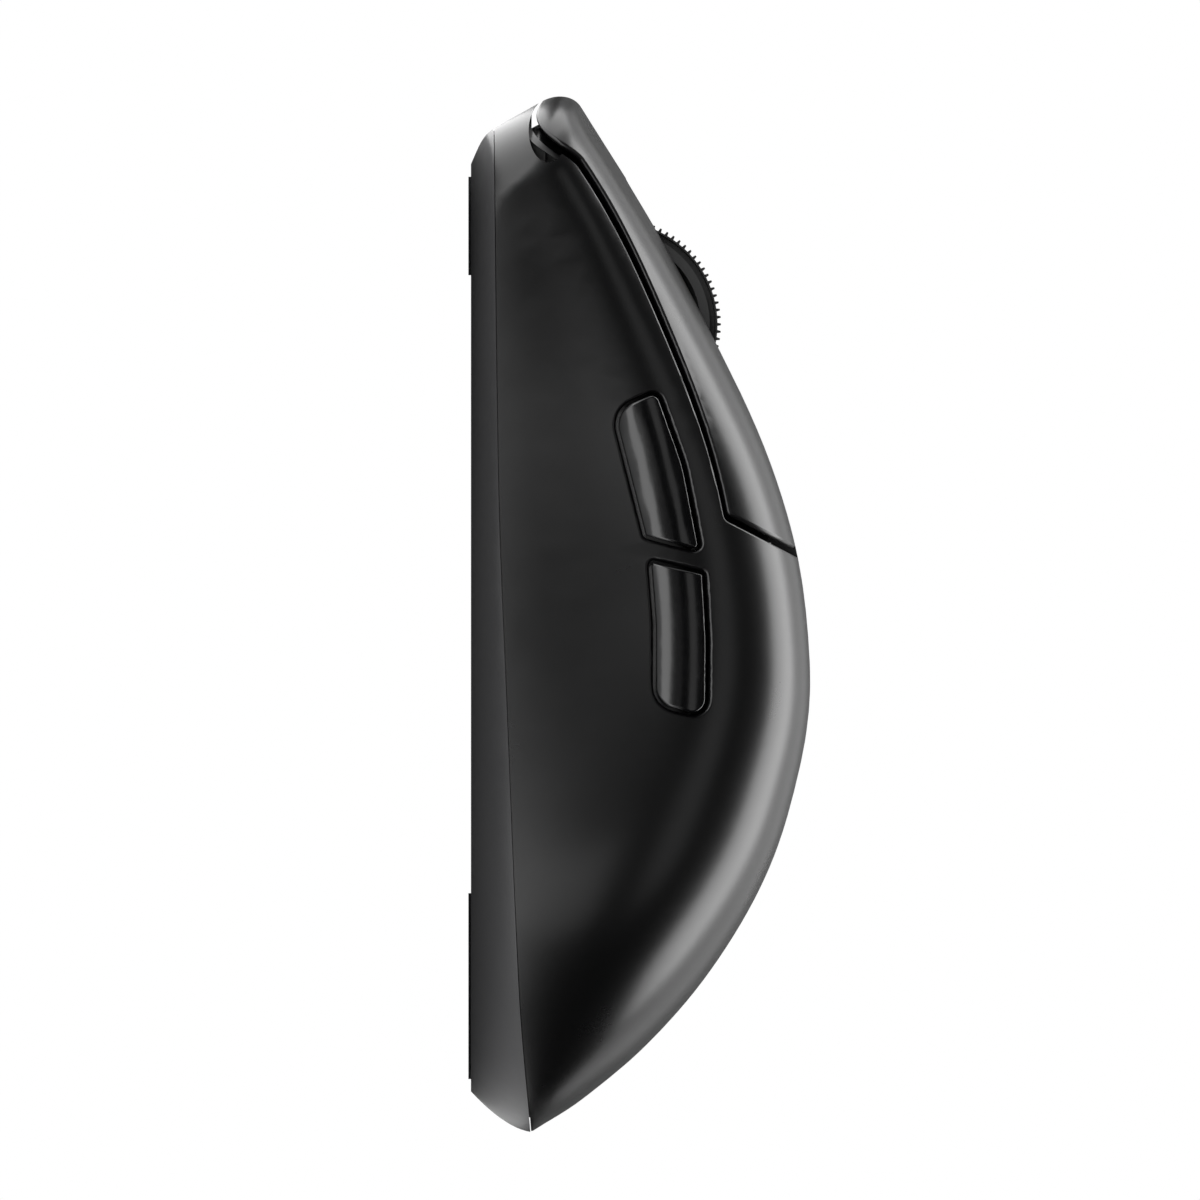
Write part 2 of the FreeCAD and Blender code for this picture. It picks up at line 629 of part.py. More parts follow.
def notch_ribs():
    """Upright ribs behind the chin on both sides, which close off the view through the notch."""
    ribs = []
    below = body_form(SHELL_WALL / 2, 2.0).common(box((-40, 40), (0, 80), (NOSE_SEAM[0][1] - 7.6, 7.4)))
    behind = body_form(PLATE_WALL + 0.8, 2.0)
    for x, top in zip(NOTCH_RIB_X, NOTCH_RIB_TOP):
        slab = box(x, (NOTCH_RIB_REAR_Y, 62), (belt(NOSE_Y) + LIP_HEIGHT + 0.3, top))
        rib = slab.common(below).fuse(slab.common(behind)).removeSplitter()
        ribs += [rib, mirrored(rib)]
    return ribs


def seam_lips(inside):
    """Strips inside both side seams, which stand up behind the plates' edges and close the gap from view."""
    low, high = SEAM_LIP_REACH
    core = body_form(SEAM_LIP_INSET + SEAM_LIP_THICKNESS, 2.0)
    near = box((SEAM_LIP_X, 40), (0, 80), (belt(NOSE_Y) + LIP_HEIGHT + 0.3, 60))
    band = seam_cutter(0, -low).common(near).cut(core)
    strip = body_form(SEAM_LIP_INSET, 2.0).common(band).cut(seam_cutter(0, high))
    ledge = inside.common(band).cut(seam_cutter(0, -low / 3))
    lip = largest(strip.fuse(ledge))
    return [lip, mirrored(lip)]


def seam_tab(low):
    """A tab in the middle of the rear seam, which steps forward between the plates and stands on the shelf."""
    half = SEAM_TAB_HALF_WIDTH
    column = OUTER.cut(low).common(box((-half, half), (0, 20), (SHELF_BOTTOM, 60)))
    return largest(column.common(seam_cutter(-SEAM_GAP_Y, 0)).cut(seam_cutter(SEAM_TAB_REACH, 0)))


def arch_height(x, y, inset):
    """How high the form stands over a place on the floor, moved in by inset."""
    rise = crown(y) - inset * min(hypot(1, crown(y + 0.5) - crown(y - 0.5)), 1.8) - belt(y)
    share = min(1.0, abs(x) / (belt_half(y) - inset))
    return belt(y) + rise * (1 - share ** fullness(y)) ** (1 / fullness(y))


def shelf_level(x):
    """The height of the shelf's top at a plate screw."""
    return arch_height(x, PLATE_SCREW_Y, TONGUE_INSET + TONGUE_THICKNESS + SHELF_GAP)


def tongue_level(x):
    """The height of a tongue's top at a plate screw."""
    return arch_height(x, PLATE_SCREW_Y, TONGUE_INSET)


def socket_opening():
    """The mouth of the charging socket, cut through the chin and the tray's front."""
    width, length, height = SOCKET_SIZE
    centre_z = BOARD_BOTTOM - height / 2
    half_x, half_z = width / 2 + SOCKET_MARGIN, height / 2 + SOCKET_MARGIN
    mouth = box((-half_x, half_x), (SOCKET_FRONT_Y - 3.2, 70), (centre_z - half_z, centre_z + half_z))
    return mouth.makeFillet(half_z * 0.8, [e for e in mouth.Edges if abs(e.tangentAt(0).y) > 0.9])


def click_plate():
    """The left click plate, with its tongue, root bar and the peg that meets its switch."""
    region = seam_cutter(SEAM_GAP_Y, SEAM_GAP_Z)
    left = box((-45, -PLATE_SPLIT / 2), (-20, 70), (0, 60))
    skin = OUTER.cut(body_form(PLATE_WALL, 2.0)).common(region).common(left)
    skin = largest(skin.cut(wheel_slot()))
    skin = skin.makeFillet(PLATE_ROUND, skin_edges(skin, lambda m: True))
    tongue_bottom = body_form(TONGUE_INSET + TONGUE_THICKNESS, 2.0)
    x = (-TONGUE_X[1], -TONGUE_X[0])
    root = body_form(PLATE_WALL / 2, 2.0).cut(tongue_bottom)
    root = root.common(box(x, (TONGUE_ROOT_Y, TONGUE_Y[1]), (20, 60)))
    tongue = body_form(TONGUE_INSET, 2.0).cut(tongue_bottom).common(box(x, TONGUE_Y, (20, 60)))
    ceiling = body_form(PLATE_WALL / 2, 2.0)
    peg = centred_box(-CLICK_SWITCH_X, CLICK_PLUNGER_Y, 3.0, 2.4, (CLICK_PLUNGER_TOP + TOUCH_GAP, 60))
    peg = peg.common(ceiling)
    plate = joined([skin, largest(root), largest(tongue), largest(peg)])
    half = SEAM_TAB_HALF_WIDTH + SEAM_GAP_Y
    pocket = box((-half, half), (0, 20), (20, 60))
    cuts = [pocket.cut(seam_cutter(SEAM_TAB_REACH + SEAM_GAP_Y, SEAM_GAP_Z))]
    head_radius, head_height = PLATE_SCREW_HEAD
    for x in PLATE_SCREWS_X:
        seat = tongue_level(x) + SMALL_GAP / 2
        cuts.append(upright(-x, PLATE_SCREW_Y, PLATE_SCREW_RADIUS + SMALL_GAP, (20, 60)))
        cuts.append(upright(-x, PLATE_SCREW_Y, head_radius + SMALL_GAP, (seat, seat + head_height + 0.3)))
    return largest(plate.cut(cuts))


def plate_screws():
    """Four screws that hold the tongues down on the shelf, head upwards."""
    head_radius, head_height = PLATE_SCREW_HEAD
    screws = []
    for side in (-1, 1):
        for x in PLATE_SCREWS_X:
            seat = tongue_level(x) + SMALL_GAP
            shank = upright(side * x, PLATE_SCREW_Y, PLATE_SCREW_RADIUS, (shelf_level(x) - 1.4, seat + 0.1))
            head = upright(side * x, PLATE_SCREW_Y, head_radius, (seat, seat + head_height))
            screws.append(shank.fuse(head).removeSplitter())
    return Part.makeCompound(screws)


def foot_blank(margin, front):
    """The outline of one foot as a flat face at the tray's underside, before its height is given."""
    face = Part.Face(outline(margin, FLOOR_BOTTOM))
    far = 90.0
    grow = FOOT_MARGIN - margin
    if front:
        edge_y, hollow = FRONT_FOOT_Y - grow, FRONT_FOOT_HOLLOW
        keep = box((-far, far), (edge_y, far), (-1, 5))
    else:
        edge_y, hollow = REAR_FOOT_Y + grow, REAR_FOOT_HOLLOW
        keep = box((-far, far), (-far, edge_y), (-1, 5))
    slab = face.extrude(Vec(0, 0, FOOT_THICKNESS)).common(keep)
    half_x, half_y = hollow[0] - grow, hollow[1] - grow
    ellipse = Part.Ellipse(Vec(0, edge_y, -5), max(half_x, half_y), min(half_x, half_y))
    bite = Part.Face(Part.Wire(ellipse.toShape())).extrude(Vec(0, 0, 20))
    foot = slab.cut(bite)
    return largest(foot)


def skate(front):
    """A slippery foot, stuck in its recess under the tray and proud of it."""
    foot = foot_blank(FOOT_MARGIN, front)
    foot.translate(Vec(0, 0, -FOOT_PROUD))
    return foot


def board_post(x, y, radius, top):
    """A round post on the tray's floor."""
    return upright(x, y, radius, (FLOOR_TOP - 0.3, top))


def base_shell():
    """The tray: its floor, undercut rim, locating lip, posts and the openings in its floor."""
    tray = tray_form(0, FLOOR_BOTTOM).common(BELOW_BELT)
    tray = tray.cut(tray_form(BASE_WALL, FLOOR_TOP))
    lip = body_form(SHELL_WALL + 0.1, 3.0).cut(body_form(SHELL_WALL + 0.1 + LIP_WALL, 4.0))
    lip = lip.common(belt_slab(LIP_HEIGHT)).cut(belt_slab(-1.2))
    added = [largest(lip)]
    for x, y in SHELL_SCREWS:
        added.append(board_post(x, y, BASE_BOSS_RADIUS, BASE_BOSS_TOP))
    for x, y in BOARD_SCREWS:
        added.append(board_post(x, y, BOARD_POST_RADIUS, BOARD_BOTTOM))
    for y in FLOOR_RIBS_Y:
        rib_y = (y - RIB_THICKNESS / 2, y + RIB_THICKNESS / 2)
        added.append(box((-22, 22), rib_y, (FLOOR_TOP - 0.3, FLOOR_RIB_TOP)))
    fence, fence_height = BATTERY_FENCE
    for side in (-1, 1):
        x = sorted((side * (BATTERY_SIZE[0] / 2 + 0.3), side * (BATTERY_SIZE[0] / 2 + 0.3 + fence)))
        y = (BATTERY_Y - BATTERY_SIZE[1] / 2 + 3, BATTERY_Y + BATTERY_SIZE[1] / 2 - 3)
        added.append(box(x, y, (FLOOR_TOP - 0.3, FLOOR_TOP + fence_height)))
    for side in (-1, 1):
        inner = ARM_GAP / 2 + ARM_THICKNESS + SMALL_GAP
        x = sorted((side * inner, side * (inner + POST_THICKNESS)))
        added.append(box(x, (PIVOT_Y - 2, PIVOT_Y + 2), (FLOOR_TOP - 0.3, PIVOT_Z + 2.2)))
    tray = tray.fuse(added)
    cuts = [socket_opening()]
    for x, y in SHELL_SCREWS:
        head_radius, head_height = SHELL_SCREW_HEAD
        cuts.append(upright(x, y, head_radius + SMALL_GAP, (-1, shell_screw_seat())))
        cuts.append(upright(x, y, SHELL_SCREW_RADIUS + SMALL_GAP, (-1, BASE_BOSS_TOP + 1)))
    for x, y in BOARD_SCREWS:
        bite = (BOARD_BOTTOM - BOARD_SCREW_BITE - 0.4, BOARD_BOTTOM + 1)
        cuts.append(upright(x, y, BOARD_SCREW_RADIUS + 0.02, bite))
    for front in (True, False):
        recess = foot_blank(FOOT_MARGIN - FOOT_CLEARANCE, front)
        recess.translate(Vec(0, 0, -FOOT_PROUD))
        cuts.append(recess)
    cuts.append(centred_box(0, 0, LENS_WINDOW[0], LENS_WINDOW[1], (-1, FLOOR_TOP + 1)))
    knob_x, knob_y = SLIDER_KNOB
    cuts.append(box((SLIDER_X - knob_x / 2 - SMALL_GAP, SLIDER_X + knob_x / 2 + SMALL_GAP),
                    (-knob_y / 2 - SMALL_GAP, knob_y / 2 + SLIDER_TRAVEL + SMALL_GAP), (-1, FLOOR_TOP + 1)))
    cuts.append(upright(DPI_X, 0, DPI_RADIUS + SMALL_GAP, (-1, FLOOR_TOP + 1)))
    cuts.append(crosswise(PIVOT_Y, PIVOT_Z, PIVOT_RADIUS + RUNNING_CLEARANCE, (-20, 20)))
    return largest(tray.cut(cuts).removeSplitter())


def shell_screw_seat():
    """The height at which the shell screws' heads bear."""
    return FOOT_THICKNESS + 0.2 + SHELL_SCREW_HEAD[1] + 0.1


def shell_screws():
    """Four screws that hold the tray to the top shell, hidden by the feet."""
    head_radius, head_height = SHELL_SCREW_HEAD
    seat = shell_screw_seat()
    screws = []
    for x, y in SHELL_SCREWS:
        head = upright(x, y, head_radius, (seat - head_height, seat))
        head = head.cut(upright(x, y, head_radius * 0.45, (0, seat - head_height / 2)))
        shank = upright(x, y, SHELL_SCREW_RADIUS, (seat, seat + SHELL_SCREW_LENGTH))
        screws.append(head.fuse(shank).removeSplitter())
    return Part.makeCompound(screws)


# Boards and what they carry

def main_board():
    """The main circuit board, with its wheel slot and the holes for posts, screws and sensor."""
    z = (BOARD_BOTTOM, BOARD_TOP)
    body = box((-BOARD_HALF_WIDTH, BOARD_HALF_WIDTH), (BOARD_REAR_Y, BOARD_FRONT_Y), z)
    wing = box((-BOARD_WING, BOARD_WING), BOARD_WING_Y, z)
    board = body.fuse(wing).removeSplitter()
    reach = sqrt((TYRE_RADIUS + TREAD_HEIGHT) ** 2 - (WHEEL_Z - BOARD_TOP) ** 2) + 1.2
    cuts = [centred_box(0, WHEEL_Y, SLOT_WIDTH, 2 * reach, (0, 20))]
    inner = ARM_GAP / 2 + ARM_THICKNESS
    for side in (-1, 1):
        x = sorted((side * inner, side * (inner + POST_THICKNESS + 2 * SMALL_GAP)))
        cuts.append(box(x, (PIVOT_Y - 2 - SMALL_GAP, PIVOT_Y + 2 + SMALL_GAP), (0, 20)))
    for x, y in BOARD_SCREWS:
        cuts.append(upright(x, y, BOARD_SCREW_RADIUS + 0.3, (0, 20)))
    cuts.append(centred_box(0, 0, SENSOR_APERTURE, SENSOR_APERTURE, (0, 20)))
    return board.cut(cuts)


def pan_screw(head, radius, bite):
    """A small pan-head screw at the origin, its head above z = 0 and its shank below."""
    head_radius, head_height = head
    body = upright(0, 0, head_radius, (0, head_height)).fuse(upright(0, 0, radius, (-bite, 0)))
    return body.removeSplitter().cut(upright(0, 0, head_radius * 0.4, (head_height / 2, 2)))


def board_screws():
    """Four screws that hold the main board to the tray's posts."""
    screws = []
    for x, y in BOARD_SCREWS:
        screw = pan_screw(BOARD_SCREW_HEAD, BOARD_SCREW_RADIUS, BOARD_THICKNESS + BOARD_SCREW_BITE)
        screw.translate(Vec(x, y, BOARD_TOP))
        screws.append(screw)
    return Part.makeCompound(screws)


def side_board():
    """The upright board behind the two side buttons."""
    board = side_prism(SIDE_BOARD_OUTLINE, (SIDE_BOARD_X, SIDE_BOARD_X + SIDE_BOARD_THICKNESS))
    return board.cut([crosswise(y, z, BOARD_SCREW_RADIUS + 0.2, (-30, 0)) for y, z in SIDE_BOARD_SCREWS])


def side_board_screws():
    """Two screws that hold the upright board to the top shell's bosses."""
    screws = []
    for y, z in SIDE_BOARD_SCREWS:
        screw = pan_screw(BOARD_SCREW_HEAD, BOARD_SCREW_RADIUS, SIDE_BOARD_THICKNESS + BOARD_SCREW_BITE)
        screw.rotate(Vec(0, 0, 0), Y_AXIS, 90)
        screw.translate(Vec(SIDE_BOARD_X + SIDE_BOARD_THICKNESS, y, z))
        screws.append(screw)
    return Part.makeCompound(screws)


def switch_case(size, plunger_offset):
    """A switch case on its own base plane with a well for the plunger, long side along Y."""
    length, width, height = size
    case = box((-width / 2, width / 2), (-length / 2, length / 2), (0, height))
    case = case.makeFillet(0.3, [e for e in case.Edges if abs(e.tangentAt(0).z) > 0.9])
    return case.cut(plunger_blank(plunger_offset, height, PLUNGER_CLEARANCE, PLUNGER_SINK + 0.8))


def plunger_blank(offset, height, grow, depth):
    """A switch plunger, or its well when it is grown, standing up through the case's top."""
    size_x, size_y = PLUNGER_SIZE
    z = (height - depth, height + PLUNGER_PROUD)
    return centred_box(0, offset, size_x + 2 * grow, size_y + 2 * grow, z)


def click_switch(side):
    """The case and the plunger of the switch under one click plate."""
    offset = CLICK_SWITCH[0] * (CLICK_PLUNGER_SHARE - 0.5)
    place = Vec(side * CLICK_SWITCH_X, CLICK_PLUNGER_Y - offset, BOARD_TOP)
    case = switch_case(CLICK_SWITCH, offset)
    plunger = plunger_blank(offset, CLICK_SWITCH[2], 0, PLUNGER_SINK)
    case.translate(place)
    plunger.translate(place)
    return case, plunger


def middle_switch():
    """The case and the plunger of the switch under the wheel carriage's heel."""
    place = Vec(0, HEEL_Y, BOARD_TOP)
    case, plunger = switch_case(MIDDLE_SWITCH, 0), plunger_blank(0, MIDDLE_SWITCH[2], 0, PLUNGER_SINK)
    case.translate(place)
    plunger.translate(place)
    return case, plunger


def side_switch(press):
    """The case and the plunger of the switch behind one side button."""
    parts = switch_case(SIDE_SWITCH, 0), plunger_blank(0, SIDE_SWITCH[2], 0, PLUNGER_SINK)
    for part in parts:
        part.rotate(Vec(0, 0, 0), Y_AXIS, -90)
        part.translate(Vec(SIDE_BOARD_X, press[0], press[1]))
    return parts


def sensor_lens():
    """The clear plate over the floor's window, with the lens that looks through it."""
    z = (FLOOR_TOP, FLOOR_TOP + LENS_PLATE)
    plate = centred_box(0, 0, LENS_SIZE[0], LENS_SIZE[1], z)
    window_x, window_y = LENS_WINDOW
    plug_z = (FLOOR_TOP - LENS_SEAT * 0.6, z[1])
    plug = centred_box(0, 0, window_x - 2 * SMALL_GAP, window_y - 2 * SMALL_GAP, plug_z)
    barrel = upright(0, 0, 2.3, (z[1], BOARD_BOTTOM - 0.1))
    return joined([plate, plug, barrel])


def motion_sensor():
    """The sensor chip over the board's aperture, with its legs."""
    size_x, size_y, height = SENSOR_SIZE
    body = centred_box(0, 0, size_x, size_y, (BOARD_TOP, BOARD_TOP + height))
    body = body.makeChamfer(0.4, [e for e in body.Edges if e.CenterOfMass.z > BOARD_TOP + height - 0.01])
    legs = []
    leg_z = (BOARD_TOP, BOARD_TOP + height / 2)
    for side in (-1, 1):
        for k in range(8):
            legs.append(centred_box(side * (size_x / 2 + 0.4), (k - 3.5) * 1.8, 0.9, 0.6, leg_z))
    return joined([body] + legs)


def board_chips():
    """The radio, the processor and the small parts on top of the main board."""
    z = BOARD_TOP
    chips = []
    for x, y, size_x, size_y in BOARD_CHIPS:
        chips.append(centred_box(x, y, size_x, size_y, (z, z + 0.9)))
    for k in range(4):
        chips.append(centred_box(19.6, 4.0 * k + 1.0, 1.0, 2.0, (z, z + 0.6)))
    return Part.makeCompound(chips)


def charging_socket():
    """The socket's shell and tongue, hung under the board's front edge."""
    width, length, height = SOCKET_SIZE
    z = (BOARD_BOTTOM - height, BOARD_BOTTOM)
    y = (SOCKET_FRONT_Y - length, SOCKET_FRONT_Y)
    body = box((-width / 2, width / 2), y, z)
    body = body.makeFillet(height * 0.42, [e for e in body.Edges if abs(e.tangentAt(0).y) > 0.9])
    wall = SOCKET_WALL
    bore = box((-width / 2 + wall, width / 2 - wall), (y[0] + 1.6, y[1] + 1), (z[0] + wall, z[1] - wall))
    bore = bore.makeFillet((height - 2 * wall) * 0.42, [e for e in bore.Edges if abs(e.tangentAt(0).y) > 0.9])
    middle = BOARD_BOTTOM - height / 2
    tongue = centred_box(0, y[1] - length / 2, width - 2.6, length - 1.4, (middle - 0.35, middle + 0.35))
    saddle = centred_box(0, y[0] + 2.0, width * 0.7, 3.0, (BOARD_BOTTOM - 0.6, BOARD_BOTTOM))
    return joined([body.cut(bore), tongue, saddle])


def battery():
    """The flat lithium cell with its sealed front edge."""
    size_x, size_y, height = BATTERY_SIZE
    z = FLOOR_TOP + BATTERY_PAD
    cell = centred_box(0, BATTERY_Y, size_x, size_y, (z, z + height))
    cell = cell.makeFillet(1.6, [e for e in cell.Edges if abs(e.tangentAt(0).x) > 0.9])
    tab_z = z + height * 0.35
    tab_y = BATTERY_Y + size_y / 2
    tab = box((1.5 - size_x / 2, size_x / 2 - 1.5), (tab_y - 0.3, tab_y + CELL_TAB_LENGTH), (tab_z, tab_z + 0.9))
    return joined([cell, tab])


def battery_pad():
    """The sticky foam between the cell and the floor."""
    size_x, size_y, _ = BATTERY_SIZE
    return centred_box(0, BATTERY_Y, size_x - 6, size_y - 6, (FLOOR_TOP, FLOOR_TOP + BATTERY_PAD))


def battery_plug():
    """The white wire-to-board connector at the board's rear edge."""
    return centred_box(0, BOARD_REAR_Y + 2.2, 5.0, 4.0, (BOARD_TOP, BOARD_TOP + 3.0))


def battery_leads():
    """Two wires from the cell's front tab up to the connector."""
    start_y = BATTERY_Y + BATTERY_SIZE[1] / 2 + CELL_TAB_LENGTH
    start_z = FLOOR_TOP + BATTERY_PAD + BATTERY_SIZE[2] * 0.35 + 0.45
    end_y, end_z = start_y + LEAD_RUN, BOARD_TOP + 1.5
    wires = []
    for x in (-1.2, 1.2):
        middle = Vec(x, (start_y + end_y) / 2, (start_z + end_z) / 2)
        points = [Vec(x, start_y, start_z), middle, Vec(x, end_y, end_z)]
        curve = Part.BSplineCurve()
        curve.interpolate(points, InitialTangent=Y_AXIS, FinalTangent=Y_AXIS)
        path = Part.Wire(curve.toShape())
        ring = Part.Wire(Part.makeCircle(WIRE_RADIUS, points[0], Y_AXIS))
        wires.append(path.makePipeShell([ring], True, False))
    return Part.makeCompound(wires)


def ribbon():
    """The flat ribbon from the upright board's foot to the main board."""
    width, thickness = 7.0, 0.3
    y = (8.0, 8.0 + width)
    x = SIDE_BOARD_X + SIDE_BOARD_THICKNESS
    low = BOARD_TOP + 0.9
    drop = box((x, x + thickness), y, (low - thickness, RIBBON_TOP))
    foot = box((x, x + 3.0), y, (low - thickness, low))
    plug = box((x + 2.2, x + 4.6), (y[0] - 0.8, y[1] + 0.8), (BOARD_TOP, BOARD_TOP + 1.6))
    return joined([drop, foot]), plug.cut(foot)


def wheel_eye(side):
    """One of the two lamps that look at each other through the wheel's windows."""
    x = side * 8.6
    body = centred_box(x, WHEEL_Y, 2.4, 4.4, (BOARD_TOP, WHEEL_Z - WINDOW_RADIUS + 2.2))
    lens = crosswise(WHEEL_Y, WHEEL_Z - WINDOW_RADIUS, 1.0, sorted((x, x - side * 1.7)))
    return joined([body, lens])


def power_switch():
    """The slide switch's case under the board, with the slot for the slider's post."""
    z = (FLOOR_TOP + SLIDER_FLANGE_THICKNESS + 0.9, BOARD_BOTTOM)
    middle = SLIDER_TRAVEL / 2
    case = centred_box(SLIDER_X, middle, 3.6, 8.7, z)
    return case.cut(centred_box(SLIDER_X, middle, 1.4, SLIDER_TRAVEL + 1.8, (z[0] - 1, z[0] + 1.6)))


def power_slider():
    """The knob that slides in the tray's floor, with its flange and post."""
    knob_x, knob_y = SLIDER_KNOB
    knob = centred_box(SLIDER_X, 0, knob_x, knob_y, (FLOOR_BOTTOM + SLIDER_RECESS, FLOOR_TOP + 0.1))
    rib_z = (FLOOR_BOTTOM + 0.2, FLOOR_BOTTOM + SLIDER_RECESS)
    ribs = [centred_box(SLIDER_X, k * 1.1, knob_x, 0.4, rib_z) for k in (-1, 0, 1)]
    z = (FLOOR_TOP + 0.05, FLOOR_TOP + 0.05 + SLIDER_FLANGE_THICKNESS)
    flange = centred_box(SLIDER_X, 0, knob_x + 2 * SLIDER_FLANGE, knob_y + 2 * SLIDER_FLANGE, z)
    post = centred_box(SLIDER_X, 0, 1.0, 1.4, (z[1], z[1] + 1.9))
    return joined([knob, flange, post] + ribs)


def dpi_parts():
    """The round button in the floor and the small switch over it."""
    flange = upright(DPI_X, 0, DPI_RADIUS + 0.9, (FLOOR_TOP + 0.05, FLOOR_TOP + 0.65))
    cap = upright(DPI_X, 0, DPI_RADIUS, (FLOOR_BOTTOM + 0.1, FLOOR_TOP + 0.1))
    cap = cap.makeFillet(0.25, [e for e in cap.Edges if e.CenterOfMass.z < FLOOR_BOTTOM + 0.11])
    case_bottom = BOARD_BOTTOM - 2.0
    stem = upright(DPI_X, 0, 0.9, (FLOOR_TOP + 0.6, case_bottom - DPI_TRAVEL - 0.1))
    case = centred_box(DPI_X, 0, 4.0, 4.0, (case_bottom, BOARD_BOTTOM))
    return joined([cap, flange, stem]), case


# Wheel and carriage

def turned(profile):
    """A solid of revolution about the wheel's axle from a profile of (x, radius) points."""
    points = [Vec(x, WHEEL_Y, WHEEL_Z + r) for x, r in profile]
    face = Part.Face(Part.makePolygon(points + points[:1]))
    return face.revolve(Vec(0, WHEEL_Y, WHEEL_Z), X_AXIS, 360)


def wheel_hub():
    """The rim, the web with the windows that the wheel eyes count, and the hub."""
    half, web = RIM_WIDTH / 2, WEB_THICKNESS / 2
    flange = 0.8
    profile = [(-half, RIM_RADIUS), (-half + flange, RIM_RADIUS), (-half + flange, RIM_SEAT_RADIUS),
               (half - flange, RIM_SEAT_RADIUS), (half - flange, RIM_RADIUS), (half, RIM_RADIUS),
               (half, DISH_RADIUS), (web, DISH_RADIUS - 0.6), (web, HUB_RADIUS), (half, HUB_RADIUS),
               (half, AXLE_RADIUS), (-half, AXLE_RADIUS), (-half, HUB_RADIUS), (-web, HUB_RADIUS),
               (-web, DISH_RADIUS - 0.6), (-half, DISH_RADIUS)]
    hub = turned(profile)
    windows = []
    for k in range(WINDOW_COUNT):
        angle = 2 * pi * (k + 0.5) / WINDOW_COUNT
        slot = centred_box(0, 0, 10, WINDOW_SIZE, (WINDOW_RADIUS - 1.2, WINDOW_RADIUS + 1.2))
        slot.rotate(Vec(0, 0, 0), X_AXIS, degrees(angle))
        slot.translate(Vec(0, WHEEL_Y, WHEEL_Z))
        windows.append(slot)
    return hub.cut(windows)


def wheel_tyre():
    """The rubber tyre, with its ribbed tread."""
    half = TYRE_WIDTH / 2
    seat = RIM_WIDTH / 2 - 0.8
    groove = 0.7
    edge = [(seat, RIM_SEAT_RADIUS), (seat, RIM_RADIUS), (half - groove, RIM_RADIUS),
            (half - groove, TYRE_RADIUS - 0.35), (half, TYRE_RADIUS - 0.2), (half, TYRE_RADIUS)]
    body = turned(edge + [(-x, radius) for x, radius in reversed(edge)])
    ribs = []
    rib_half = pi * TYRE_RADIUS / TREAD_COUNT * 0.5
    low, high = TYRE_RADIUS - 0.1, TYRE_RADIUS + TREAD_HEIGHT
    for k in range(TREAD_COUNT):
        section = ((-rib_half, low), (rib_half, low), (rib_half * 0.5, high), (-rib_half * 0.5, high))
        rib = side_prism(section, (-half, half))
        rib.rotate(Vec(0, 0, 0), X_AXIS, 360 * k / TREAD_COUNT)
        rib.translate(Vec(0, WHEEL_Y, WHEEL_Z))
        ribs.append(rib)
    return body.fuse(ribs).removeSplitter()


def wheel_axle():
    """The steel pin through the hub, carried by the carriage's two arms."""
    end = ARM_GAP / 2 + ARM_THICKNESS
    return crosswise(WHEEL_Y, WHEEL_Z, AXLE_RADIUS, (-end, end))


def carriage():
    """Two bent arms, their front pivot pins, a front bar and the heel over the middle switch."""
    inner, outer = ARM_GAP / 2, ARM_GAP / 2 + ARM_THICKNESS
    heel_z = MIDDLE_PLUNGER_TOP + TOUCH_GAP
    knees = [(PIVOT_Y, PIVOT_Z), (WHEEL_Y, WHEEL_Z), (HEEL_Y, heel_z + ARM_HALF_HEIGHT)]
    pieces = []
    for side in (-1, 1):
        x = sorted((side * inner, side * outer))
        for (y0, z0), (y1, z1) in zip(knees, knees[1:]):
            angle = atan2(z1 - z0, y1 - y0)
            across = (-sin(angle) * ARM_HALF_HEIGHT, cos(angle) * ARM_HALF_HEIGHT)
            corners = [(y0 + across[0], z0 + across[1]), (y1 + across[0], z1 + across[1]),
                       (y1 - across[0], z1 - across[1]), (y0 - across[0], z0 - across[1])]
            pieces.append(side_prism(corners, x))
        for (y, z), radius in zip(knees, (ARM_HALF_HEIGHT, ARM_HALF_HEIGHT + 0.6, ARM_HALF_HEIGHT)):
            pieces.append(crosswise(y, z, radius, x))
        pin = sorted((side * (outer - 0.2), side * (outer + SMALL_GAP + POST_THICKNESS)))
        pieces.append(crosswise(PIVOT_Y, PIVOT_Z, PIVOT_RADIUS, pin))
    span = (-inner - 0.2, inner + 0.2)
    pieces.append(box(span, (PIVOT_Y - 1.1, PIVOT_Y + 1.1), (PIVOT_Z - 1.1, PIVOT_Z + 1.1)))
    pieces.append(box(span, (HEEL_Y - 1.2, HEEL_Y + 1.2), (heel_z, heel_z + 2 * ARM_HALF_HEIGHT)))
    frame = joined(pieces)
    return frame.cut(crosswise(WHEEL_Y, WHEEL_Z, AXLE_RADIUS + RUNNING_CLEARANCE, (-20, 20)))


